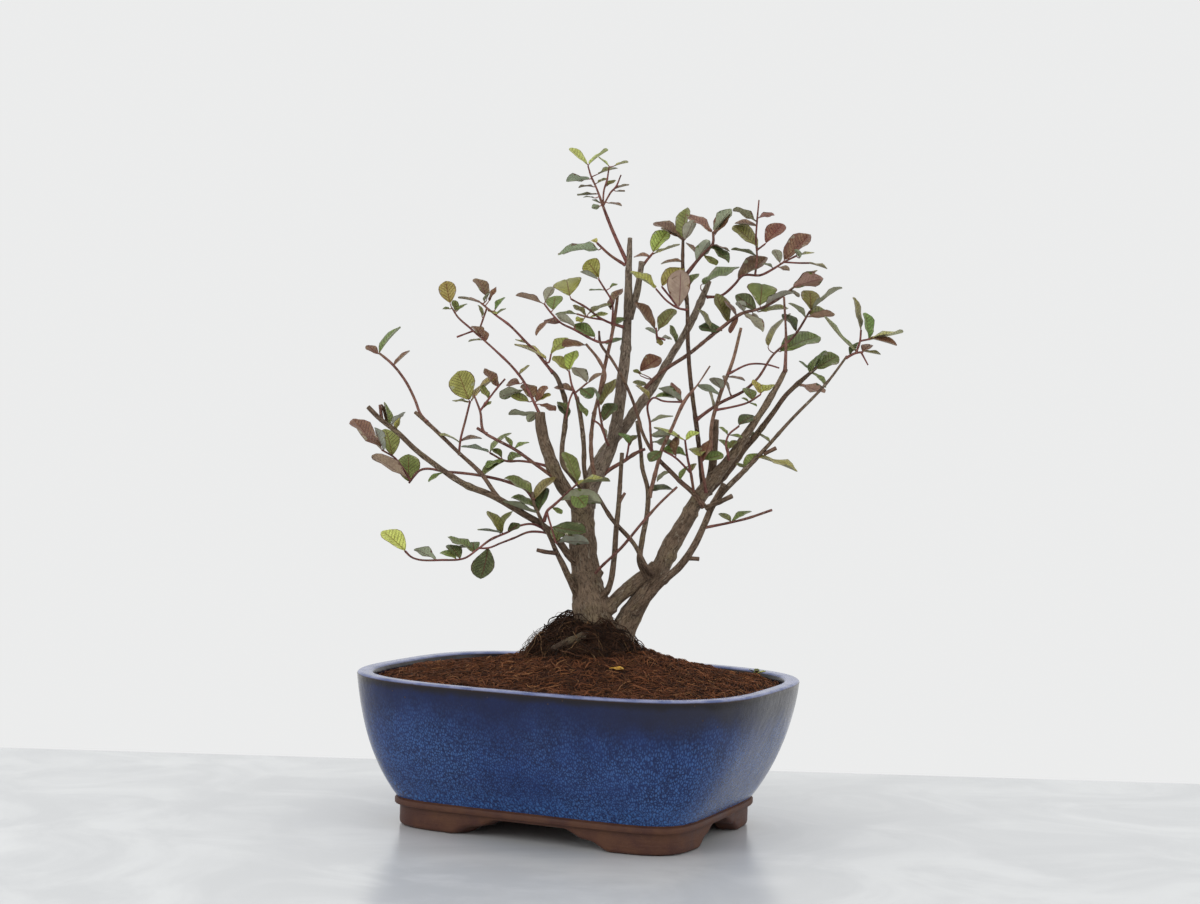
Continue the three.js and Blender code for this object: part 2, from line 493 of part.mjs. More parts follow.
    [469, 400, 457, 371, 27, "Y"], [469, 402, 452, 399, 5, "O"], [471, 401, 493, 374, 4, "Y"],
    [461, 441, 481, 435, 5, "B"], [460, 443, 443, 430, 2, "S"],
  ],
  stem_left_thin: [
    [489, 399, 480, 386, 6, "O"], [498, 387, 484, 369, 10, "B"], [483, 408, 490, 400, 6, "O"],
    [512, 448, 505, 436, 5, "G"], [514, 449, 528, 440, 5, "G"],
  ],
  shoot_left_low: [
    [405, 551, 382, 529, 15, "L"], [436, 560, 416, 546, 12, "S"], [456, 559, 442, 548, 7, "G"],
    [474, 551, 448, 535, 9, "G"], [460, 559, 449, 543, 12, "D"], [474, 552, 472, 541, 12, "D"],
    [508, 532, 519, 524, 8, "D"], [503, 533, 478, 528, 3, "S"], [502, 533, 488, 510, 10, "O"],
    [500, 534, 507, 509, 9, "O"],
  ],
  shoot_left_hang: [
    [488, 548, 484, 580, 22, "D"], [477, 548, 457, 545, 4, "S"],
  ],
  shoot_left_middle: [
    [508, 462, 520, 451, 11, "G"], [505, 461, 481, 473, 7, "G"], [505, 460, 485, 464, 4, "G"],
    [502, 458, 493, 448, 6, "G"], [490, 452, 507, 429, 7, "G"], [489, 452, 462, 444, 6, "S"],
  ],
  shoot_centre_left: [
    [577, 483, 567, 450, 14, "G"], [560, 500, 602, 499, 15, "S"], [572, 490, 586, 506, 19, "G"],
    [552, 527, 586, 532, 13, "D"], [556, 542, 560, 526, 17, "G"], [557, 543, 589, 537, 12, "S"],
    [577, 484, 610, 478, 3, "Y"], [552, 507, 562, 514, 5, "G"],
  ],
};

// Colours of the leaf tones
const TONES = {
  B: "#5a4433",
  O: "#6f6a35",
  G: "#5f7a42",
  D: "#37492a",
  L: "#c3cc6a",
  Y: "#a6ab52",
  S: "#a9ad93",
  P: "#a48f78",
};

// Colour, roughness and metalness by the start of a piece's name; a stem not named here has bark
const FINISHES = {
  potting_soil: ["#5a3826", 0.95, 0],
  pot: ["#2b3f78", 0.25, 0],
  root_ball: ["#3a2619", 0.95, 0],
  drain_mesh: ["#20242a", 0.6, 0],
  mesh_wire: ["#a8722f", 0.35, 0.9],
  seedling: ["#7fa04a", 0.5, 0],
  fallen_leaf: ["#c08a2e", 0.6, 0],
  stem_tan: ["#8d7660", 0.7, 0],
  stem_left_d: ["#8d7660", 0.7, 0],
  stem_dark: ["#4a3a2f", 0.7, 0],
  bark: ["#6a5646", 0.8, 0],
};

const wasm = await Module();
wasm.setup();

// The direction from the pot to the eye, and the picture's own right and up
const BACK = new THREE.Vector3(
  Math.sin(VIEW.turn) * Math.cos(VIEW.tilt),
  -Math.cos(VIEW.turn) * Math.cos(VIEW.tilt),
  Math.sin(VIEW.tilt),
);
const LEVEL = new THREE.Vector3(Math.cos(VIEW.turn), Math.sin(VIEW.turn), 0);
const PICTURE_RIGHT = LEVEL.clone().applyAxisAngle(BACK, VIEW.roll);
const PICTURE_UP = new THREE.Vector3().crossVectors(BACK, PICTURE_RIGHT);
const EYE = BACK.clone().multiplyScalar(VIEW.distance).addScaledVector(LEVEL, VIEW.right);
EYE.z += VIEW.height;

// The point seen at a picture column and row, at a depth behind the middle of the pot.
function seenAt(column, row, depth) {
  const reach = VIEW.distance + depth;
  return EYE.clone()
    .addScaledVector(BACK, -reach)
    .addScaledVector(PICTURE_RIGHT, (reach * (column - VIEW.column)) / VIEW.focal)
    .addScaledVector(PICTURE_UP, (-reach * (row - VIEW.row)) / VIEW.focal);
}

// A closed geometry as a solid: its doubled vertices are welded and its collapsed triangles dropped.
function solidOf(geometry) {
  const bare = geometry.clone();
  bare.deleteAttribute("normal");
  bare.deleteAttribute("uv");
  const welded = mergeVertices(bare, WELD);
  const corners = welded.index.array;
  const kept = [];
  for (let i = 0; i < corners.length; i += 3) {
    const [a, b, c] = [corners[i], corners[i + 1], corners[i + 2]];
    if (a !== b && b !== c && c !== a) kept.push(a, b, c);
  }
  return new wasm.Manifold(
    new wasm.Mesh({
      numProp: 3,
      vertProperties: welded.attributes.position.array,
      triVerts: new Uint32Array(kept),
    }),
  );
}

// The geometry of a solid, for a flat-shaded mesh.
function geometryOf(solid) {
  const { vertProperties, triVerts } = solid.getMesh();
  const shared = new THREE.BufferGeometry();
  shared.setAttribute("position", new THREE.BufferAttribute(vertProperties, 3));
  shared.setIndex(new THREE.BufferAttribute(triVerts, 1));
  const geometry = shared.toNonIndexed();
  geometry.computeVertexNormals();
  return geometry;
}

function union(solids) {
  return solids.reduce((whole, solid) => whole.add(solid));
}

function largest(solid) {
  return solid.decompose().reduce((most, piece) => (piece.volume() > most.volume() ? piece : most));
}

function box(size, centre) {
  return solidOf(new THREE.BoxGeometry(...size).translate(...centre));
}

// A round rod between two points.
function rod(from, to, diameter, sides) {
  const axis = new THREE.Vector3().subVectors(to, from);
  const geometry = new THREE.CylinderGeometry(diameter / 2, diameter / 2, axis.length(), sides);
  const up = new THREE.Vector3(0, 1, 0);
  const turn = new THREE.Quaternion().setFromUnitVectors(up, axis.clone().normalize());
  geometry.applyQuaternion(turn);
  geometry.translate(...from.clone().add(to).multiplyScalar(0.5).toArray());
  return solidOf(geometry);
}

// A lathe whose rings are soft-cornered rectangles. Each ring is inset from the pot's rim outline,
// shrunk by a share, set at a height, and lifted by a height function where one is given.
function softLathe(rings, lift = () => 0) {
  const lathe = new THREE.LatheGeometry(
    rings.map((ring) => new THREE.Vector2(1, ring.z)),
    POT_SEGMENTS,
  );
  const position = lathe.attributes.position;
  const bend = (value, power) => Math.sign(value) * Math.abs(value) ** power;
  for (let i = 0; i < position.count; i += 1) {
    const ring = rings[i % rings.length];
    const angle = ((Math.floor(i / rings.length) % POT_SEGMENTS) / POT_SEGMENTS) * 2 * Math.PI;
    const power = 2 / ring.squareness;
    const share = ring.share ?? 1;
    const x = share * (POT_LENGTH / 2 - ring.inset) * bend(Math.sin(angle), power);
    const y = -share * (POT_WIDTH / 2 - ring.inset) * bend(Math.cos(angle), power);
    position.setXYZ(i, x, y, ring.z + (ring.lifted ? lift(x, y) : 0));
  }
  return solidOf(lathe);
}

// The pot's outer wall: upright under the rim and drawn in towards the feet. At a height z it gives
// the inset from the rim outline and the squareness of the outline.
function wallAt(z) {
  const fall = Math.min(1, (POT_HEIGHT - z) / (POT_HEIGHT - GLAZE_EDGE));
  return {
    inset: BASE_INSET * (1 - (1 - fall ** WALL_FALL) ** WALL_TURN),
    squareness: RIM_SQUARENESS + (BASE_SQUARENESS - RIM_SQUARENESS) * fall ** WALL_SQUARING,
    z,
  };
}

function innerWallAt(z, gap = 0) {
  const ring = wallAt(z);
  return { ...ring, inset: ring.inset + WALL + gap };
}

const SOIL_TOP = POT_HEIGHT - SOIL_EDGE;
const WALL_HEIGHTS = [GLAZE_EDGE, 22, 32, 48, 68, POT_HEIGHT - RIM_EDGE];
const INNER_HEIGHTS = [POT_HEIGHT - RIM_EDGE, SOIL_TOP, 56, 34, FLOOR_TOP];

function archShape({ floor, stepOut, stepIn, top }) {
  const [low, high] = [ARCH_STEP_HEIGHT - ARCH_STEP_RISE / 2, ARCH_STEP_HEIGHT + ARCH_STEP_RISE / 2];
  const half = [[floor, -1], [stepOut, low], [stepIn, high], [top, ARCH_TOP]];
  const mirrored = half.map(([x, y]) => [-x, y]).reverse();
  return new THREE.Shape([...half, ...mirrored].map(([x, y]) => new THREE.Vector2(x, y)));
}

function arch(spans, turn, shift) {
  const depth = 2 * POT_LENGTH;
  const geometry = new THREE.ExtrudeGeometry(archShape(spans), { depth, bevelEnabled: false });
  geometry.translate(0, 0, -depth / 2).rotateX(Math.PI / 2).rotateZ(turn).translate(shift, 0, 0);
  return solidOf(geometry);
}

function drainCentres() {
  return [-DRAIN_SPACING / 2, DRAIN_SPACING / 2];
}

function pot() {
  const base = { squareness: BASE_SQUARENESS };
  const body = softLathe([
    { ...base, inset: FOOT_INSET, share: 0, z: FOOT_HEIGHT },
    { ...base, inset: FOOT_INSET, z: FOOT_HEIGHT },
    { ...base, inset: FOOT_INSET, z: FOOT_HEIGHT + 1 },
    { ...base, inset: BAND_INSET, z: FOOT_HEIGHT + 1.5 },
    { ...base, inset: BAND_INSET, z: GLAZE_EDGE - 0.5 },
    ...WALL_HEIGHTS.map(wallAt),
    { ...wallAt(POT_HEIGHT), inset: 0.8, z: POT_HEIGHT - 0.8 },
    { ...wallAt(POT_HEIGHT), inset: RIM_EDGE, z: POT_HEIGHT },
    { ...wallAt(POT_HEIGHT), inset: WALL - 1.2, z: POT_HEIGHT },
    ...INNER_HEIGHTS.map((z) => innerWallAt(z)),
    { ...innerWallAt(FLOOR_TOP), share: 0 },
  ]);
  const foot = { squareness: BASE_SQUARENESS };
  const outer = { ...foot, inset: FOOT_INSET };
  const inner = { ...foot, inset: FOOT_INSET + FOOT_THICKNESS };
  const ring = softLathe([
    { ...inner, z: 0 },
    { ...outer, inset: FOOT_INSET + 1.5, z: 0 },
    { ...outer, z: 1.5 },
    { ...outer, z: FOOT_HEIGHT + 0.5 },
    { ...inner, z: FOOT_HEIGHT + 0.5 },
    { ...inner, z: 0 },
  ]);
  const feet = ring
    .subtract(arch(FRONT_ARCH, 0, ARCH_SHIFT))
    .subtract(arch(SIDE_ARCH, Math.PI / 2, 0));
  const holes = drainCentres().map((x) =>
    rod(new THREE.Vector3(x, 0, 0), new THREE.Vector3(x, 0, FLOOR_TOP + 1), DRAIN_DIAMETER, 14),
  );
  return body.add(feet).subtract(union(holes));
}

function mound(x, y) {
  const away = Math.hypot((x - MOUND_PLACE.x) / MOUND_SPREAD.x, (y - MOUND_PLACE.y) / MOUND_SPREAD.y);
  return MOUND_HEIGHT * Math.exp(-(away ** 2));
}

const MESH_BOTTOM = FLOOR_TOP + CLEARANCE;
const MESH_TOP = MESH_BOTTOM + MESH_THICKNESS;

function soil(rootPocket) {
  const sides = INNER_HEIGHTS.slice(1).reverse().map((z) => innerWallAt(z, CLEARANCE));
  sides[0].z += CLEARANCE;
  const edge = sides.at(-1);
  const tops = [0.85, 0.65, 0.5, 0.35, 0.2, 0].map((share) => ({ ...edge, share, lifted: true }));
  const heap = softLathe([{ ...sides[0], share: 0 }, ...sides, ...tops], mound);
  const pocket = { side: MESH_SIDE + 2 * CLEARANCE, height: 10, top: MESH_TOP + WIRE + 2 * CLEARANCE };
  const pockets = drainCentres().map((x) =>
    box([pocket.side, pocket.side, pocket.height], [x, 0, pocket.top - pocket.height / 2]),
  );
  return heap.subtract(rootPocket).subtract(union(pockets));
}

function rootBall(extra) {
  const geometry = new THREE.SphereGeometry(1, 18, 10);
  const position = geometry.attributes.position;
  const { x: cx, y: cy, z: cz, length, width, height } = ROOT_BALL;
  for (let i = 0; i < position.count; i += 1) {
    const [x, y, z] = [position.getX(i), position.getY(i), position.getZ(i)];
    const lump = 1 + 0.035 * Math.sin(5 * x + 3 * z) + 0.035 * Math.sin(6 * z - 4 * y);
    position.setXYZ(
      i,
      cx + x * (lump * (length / 2) + extra),
      cy - z * (lump * (width / 2) + extra),
      cz + y * (lump * (height / 2) + extra),
    );
  }
  return solidOf(geometry);
}

// The mesh over a drain hole: a square sheet with three rows of three holes.
const MESH_ROWS = [-1, 0, 1].map((step) => step * MESH_PITCH);

function drainMesh(x) {
  const sheet = box([MESH_SIDE, MESH_SIDE, MESH_THICKNESS], [x, 0, (MESH_BOTTOM + MESH_TOP) / 2]);
  const holes = MESH_ROWS.flatMap((across) =>
    MESH_ROWS.map((along) => box([MESH_HOLE, MESH_HOLE, 4], [x + across, along, MESH_TOP])),
  );
  return sheet.subtract(union(holes));
}

// The wire that holds a mesh down: a bar over it, two legs through the drain hole, and bent ends.
function meshWire(x) {
  const top = MESH_TOP + CLEARANCE + WIRE / 2;
  const bottom = FOOT_HEIGHT - CLEARANCE - WIRE / 2;
  const at = (across, z) => new THREE.Vector3(x + across, 0, z);
  const halves = [-1, 1].flatMap((side) => [
    rod(at(side * WIRE_LEG, top + WIRE / 4), at(side * WIRE_LEG, bottom - WIRE / 4), WIRE, 4),
    rod(at(side * (WIRE_LEG - WIRE / 4), bottom), at(side * WIRE_REACH, bottom), WIRE, 4),
  ]);
  return union([rod(at(-WIRE_LEG - WIRE / 4, top), at(WIRE_LEG + WIRE / 4, top), WIRE, 4), ...halves]);
}

// A tapered round stem along a route. Its rings stand at the route's points, square to the route.
function stemAlong(route, sides, extra = 0) {
  const points = route.map(([column, row, depth]) => seenAt(column, row, depth));
  const radii = route.map((point) => (point[3] ?? TWIG) / 2 + extra);
  const last = points.length - 1;
  const directions = points.map((point, i) => {
    const ahead = points[Math.min(i + 1, last)];
    const behind = points[Math.max(i - 1, 0)];
    return new THREE.Vector3().subVectors(ahead, behind).normalize();
  });
  points[0].addScaledVector(directions[0], -extra);
  points[last].addScaledVector(directions[last], extra);
  const geometry = new THREE.CylinderGeometry(1, 1, 1, sides, last);
  const position = geometry.attributes.position;
  for (let i = 0; i < position.count; i += 1) {
    const k = Math.round((position.getY(i) + 0.5) * last);
    const across = new THREE.Vector3().crossVectors(directions[k], BACK).normalize();
    const other = new THREE.Vector3().crossVectors(across, directions[k]);
    const place = points[k]
      .clone()
      .addScaledVector(across, position.getX(i) * radii[k])
      .addScaledVector(other, position.getZ(i) * radii[k]);
    position.setXYZ(i, place.x, place.y, place.z);
  }
  return solidOf(geometry);
}

function sidesOf(route) {
  const thickness = route[0][3] ?? TWIG;
  if (thickness > 12) return 10;
  if (thickness > 6) return 8;
  return thickness > 2.4 ? 5 : 4;
}

function stemSolid(routes, extra = 0) {
  return union(routes.map((route) => stemAlong(route, sidesOf(route), extra)));
}

// The place and pose of a leaf with its stalk. A leaf's real length and breadth are at least those of
// a myrtle leaf that is seen as long and as wide as it is, so the rest of its length leans to or from
// the eye, and its blade is turned about its midrib.
function leafPose([column, row, depth], [baseColumn, baseRow, tipColumn, tipRow, width, tone], lean) {
  const start = seenAt(column, row, depth);
  const base = seenAt(baseColumn, baseRow, depth);
  const tip = seenAt(tipColumn, tipRow, depth);
  const seenLength = base.distanceTo(tip);
  const seenWidth = width * STEP;
  const length = Math.max(
    1.05 * seenLength,
    1.2 * seenWidth,
    Math.min(LEAF_LENGTH, 0.75 * (seenLength + seenWidth)),
  );
  const breadth = Math.max(seenWidth, LEAF_BREADTH * length);
  const underside = tone === "S" || tone === "P";
  const away = baseRow >= tipRow !== underside ? 1 : -1;
  tip.addScaledVector(BACK, -away * Math.sqrt(length ** 2 - seenLength ** 2) - lean);
  const axis = new THREE.Vector3().subVectors(tip, start).normalize();
  const across = new THREE.Vector3().crossVectors(axis, BACK).normalize();
  const facing = new THREE.Vector3().crossVectors(across, axis);
  const open = seenWidth / breadth;
  const faces = [1, -1].map((way) =>
    facing
      .clone()
      .multiplyScalar(open)
      .addScaledVector(across, way * Math.sqrt(1 - open ** 2))
      .multiplyScalar(underside ? -1 : 1),
  );
  const face = faces[0].z > faces[1].z ? faces[0] : faces[1];
  return { start, axis, face, stalk: start.distanceTo(tip) - length, length, breadth };
}

// A leaf: a flat lens that starts as a point in the stem and is broadest beyond its middle.
function leafBlade({ start, axis, face, stalk, length, breadth }) {
  const rings = [[stalk + length, 0], ...LEAF_RINGS.map(([l, w]) => [stalk + l * length, w]), [0, 0]];
  const blade = new THREE.SphereGeometry(1, 4, rings.length - 1);
  const position = blade.attributes.position;
  const side = new THREE.Vector3().crossVectors(axis, face);
  for (let i = 0; i < position.count; i += 1) {
    const ring = Math.round((Math.acos(position.getY(i)) / Math.PI) * (rings.length - 1));
    const [along, share] = rings[ring];
    const place = start
      .clone()
      .addScaledVector(axis, along)
      .addScaledVector(side, Math.sign(Math.round(2 * position.getX(i))) * share * breadth)
      .addScaledVector(face, (Math.sign(Math.round(2 * position.getZ(i))) * LEAF_THICKNESS) / 2);
    position.setXYZ(i, place.x, place.y, place.z);
  }
  return solidOf(blade);
}

// The point of a set of routes that is seen nearest to a column and row, as [column, row, depth].
function nearestOn(routes, column, row) {
  let best = { gap: Infinity };
  routes.forEach((route) =>
    route.slice(1).forEach((end, i) => {
      const start = route[i];
      const run = [end[0] - start[0], end[1] - start[1]];
      const along = (column - start[0]) * run[0] + (row - start[1]) * run[1];
      const share = Math.min(0.92, Math.max(0.08, along / (run[0] ** 2 + run[1] ** 2)));
      const point = [0, 1, 2].map((k) => start[k] + share * (end[k] - start[k]));
      const gap = Math.hypot(point[0] - column, point[1] - row);
      if (gap < best.gap) best = { gap, point };
    }),
  );
  return best.point;
}

function leafSolid(routes, leaf, lean) {
  return leafBlade(leafPose(nearestOn(routes, leaf[0], leaf[1]), leaf, lean));
}

function boxesMeet(one, other) {
  const [a, b] = [one.boundingBox(), other.boundingBox()];
  return [0, 1, 2].every((k) => a.min[k] - CLEARANCE < b.max[k] && b.min[k] - CLEARANCE < a.max[k]);
}

function isClear(solid, others) {
  return others.every((other) => !boxesMeet(solid, other) || solid.minGap(other, CLEARANCE) >= CLEARANCE);
}

// A small leaf above a place on the soil, from its heading and its rise.
function groundLeaf([x, y], height, heading, rise, length, breadth) {
  const level = Math.cos(rise);
  const axis = new THREE.Vector3(Math.cos(heading) * level, Math.sin(heading) * level, Math.sin(rise));
  const side = new THREE.Vector3(Math.sin(heading), -Math.cos(heading), 0);
  const face = new THREE.Vector3().crossVectors(side, axis);
  const start = new THREE.Vector3(x, y, SOIL_TOP + mound(x, y) + height);
  return leafBlade({ start, axis, face, stalk: 0, length, breadth });
}

// A weed seedling: four small leaves round a short stem.
function seedling() {
  const [x, y] = SEEDLING;
  const ground = SOIL_TOP + mound(x, y) + CLEARANCE;
  const stem = rod(new THREE.Vector3(x, y, ground), new THREE.Vector3(x, y, ground + 4), TWIG, 4);
  const leaves = [0.4, 1.9, 3.4, 5.1].map((heading, i) =>
    groundLeaf(SEEDLING, CLEARANCE + 3, heading, 0.35 + 0.1 * i, 6 - 0.4 * i, 3.4),
  );
  return union([stem, ...leaves]);
}

// Pot, soil, root ball and the drain pieces
const pieces = new Map();
pieces.set("pot", pot());
pieces.set("potting_soil", soil(rootBall(CLEARANCE)));
pieces.set("root_ball", rootBall(0));
["left", "right"].forEach((side, i) => {
  pieces.set("drain_mesh_" + side, drainMesh(drainCentres()[i]));
  pieces.set("mesh_wire_" + side, meshWire(drainCentres()[i]));
});
pieces.set("seedling", seedling());
pieces.set("fallen_leaf", groundLeaf(FALLEN_LEAF, 1.2, 0.3, 0.05, 9, 4));

// Each stem ends a clearance off the stems before it, and the root ball and soil have sockets for it.
const routesOf = { ...STEMS, ...SHOOTS };
const grown = [];
for (const [name, routes] of Object.entries(routesOf)) {
  const swollen = stemSolid(routes, CLEARANCE + 0.05);
  const whole = stemSolid(routes);
  const cutters = grown.filter((other) => boxesMeet(whole, other));
  pieces.set(name, largest(cutters.reduce((solid, other) => solid.subtract(other), whole)));
  for (const bed of ["root_ball", "potting_soil"]) {
    if (boxesMeet(swollen, pieces.get(bed))) pieces.set(bed, largest(pieces.get(bed).subtract(swollen)));
  }
  grown.push(swollen);
}

// A leaf that isn't clear of the other pieces at any lean is left out.
for (const [name, leaves] of Object.entries(LEAVES)) {
  const others = [...pieces].filter(([other]) => other !== name).map(([, solid]) => solid);
  for (const leaf of leaves) {
    const lean = LEANS.find((choice) => isClear(leafSolid(routesOf[name], leaf, choice), others));
    if (lean === undefined) continue;
    pieces.set(name, pieces.get(name).add(leafSolid(routesOf[name], leaf, lean)));
  }
}

function finishOf(name) {
  if (SHOOTS[name]) return [TONES[LEAVES[name][0][5]], 0.5, 0];
  const kind = Object.keys(FINISHES).find((start) => name.startsWith(start));
  return FINISHES[kind ?? "bark"];
}

// The group's origin is on the floor, under the middle of the tree and pot.
const group = new THREE.Group();
for (const [name, solid] of pieces) {
  const [color, roughness, metalness] = finishOf(name);
  const material = new THREE.MeshStandardMaterial({ color, roughness, metalness });
  const mesh = new THREE.Mesh(geometryOf(largest(solid.simplify(SMALLEST))), material);
  mesh.name = name;
  group.add(mesh);
}
const middle = new THREE.Box3().setFromObject(group).getCenter(new THREE.Vector3());
group.position.set(-middle.x, -middle.y, 0);

export default group;
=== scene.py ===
import bpy
import numpy as np
from mathutils import Matrix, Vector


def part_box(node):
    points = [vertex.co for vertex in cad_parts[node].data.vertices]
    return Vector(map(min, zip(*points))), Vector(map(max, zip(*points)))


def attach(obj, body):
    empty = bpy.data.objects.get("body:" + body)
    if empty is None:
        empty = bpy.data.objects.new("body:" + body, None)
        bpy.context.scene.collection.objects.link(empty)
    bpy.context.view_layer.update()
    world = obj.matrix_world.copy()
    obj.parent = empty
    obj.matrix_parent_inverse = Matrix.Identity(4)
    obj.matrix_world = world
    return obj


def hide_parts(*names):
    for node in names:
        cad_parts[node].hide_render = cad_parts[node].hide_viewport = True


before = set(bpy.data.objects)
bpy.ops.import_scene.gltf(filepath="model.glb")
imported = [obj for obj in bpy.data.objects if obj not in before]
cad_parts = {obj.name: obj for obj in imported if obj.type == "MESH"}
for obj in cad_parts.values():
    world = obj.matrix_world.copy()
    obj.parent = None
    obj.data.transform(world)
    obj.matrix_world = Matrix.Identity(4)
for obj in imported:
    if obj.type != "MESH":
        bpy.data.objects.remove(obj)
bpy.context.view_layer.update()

MM = 0.001
TAU = 2 * np.pi

# The pot, from the frame
POT_LOW, POT_HIGH = (np.array(corner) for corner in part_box("pot"))
POT_LENGTH, POT_WIDTH, POT_HEIGHT = POT_HIGH - POT_LOW
POT_MIDDLE = np.array([*(POT_LOW + POT_HIGH)[:2] / 2, 0.0])
WALL = 9 * MM
BASE_INSET = 31.5 * MM
BAND_INSET = 30.8 * MM
FOOT_INSET = 33.4 * MM
FOOT_HEIGHT = 11.5 * MM
FOOT_THICKNESS = 13 * MM
GLAZE_EDGE = 17.3 * MM
FLOOR_TOP = 20.5 * MM
RIM_SQUARENESS = 3.2
BASE_SQUARENESS = 6.3
# Powers of the wall's inward fall, of its last turn under, and of its growing squareness
WALL_FALL = 1.57
WALL_TURN = 0.95
WALL_SQUARING = 2
DRAIN_RADIUS = 9 * MM
DRAIN_SPACING = 96 * MM
# Half widths and heights of the stepped arches between the feet, from the floor up
ARCH_HEIGHTS = np.array([0, 5, 6, 10.8]) * MM
FRONT_ARCH = np.array([46, 37, 30, 21]) * MM
SIDE_ARCH = np.array([30, 23, 18, 11]) * MM
FRONT_ARCH_SHIFT = 3 * MM

# Soil, root ball and leaves
SOIL_TOP = POT_HEIGHT - 4.5 * MM
MOUND_HEIGHT = 22 * MM
MOUND_SPREAD = np.array([74, 60]) * MM
MOUND_PLACE = np.array([12, 2]) * MM
ROOT_BALL = np.array([2, 1, 90]) * MM
ROOT_BALL_HALF = np.array([40, 33, 33]) * MM
SEEDLING = np.array([88, 73]) * MM
FALLEN_LEAF = np.array([36, -39]) * MM
TWIG = 1.2
LEAF_LENGTH = 15 * MM
LEAF_BREADTH = 0.72
LEAF_THICKNESS = 0.3 * MM

# The point of view that picture columns and rows belong to
PICTURE = (1200, 904)
FOCAL = 2000
DISTANCE = 1220 * MM
TURN, TILT, ROLL = np.radians([24.05, 0.19, 1.74])
LEVEL = np.array([np.cos(TURN), np.sin(TURN), 0])
BACK = np.array([np.sin(TURN) * np.cos(TILT), -np.cos(TURN) * np.cos(TILT), np.sin(TILT)])
RIGHT = LEVEL * np.cos(ROLL) + np.cross(BACK, LEVEL) * np.sin(ROLL)
UP = np.cross(BACK, RIGHT)
EYE = POT_MIDDLE + BACK * DISTANCE + LEVEL * 8 * MM + np.array([0, 0, 226.4 * MM])
# What one column or row spans at the trunks
PIXEL = DISTANCE / FOCAL


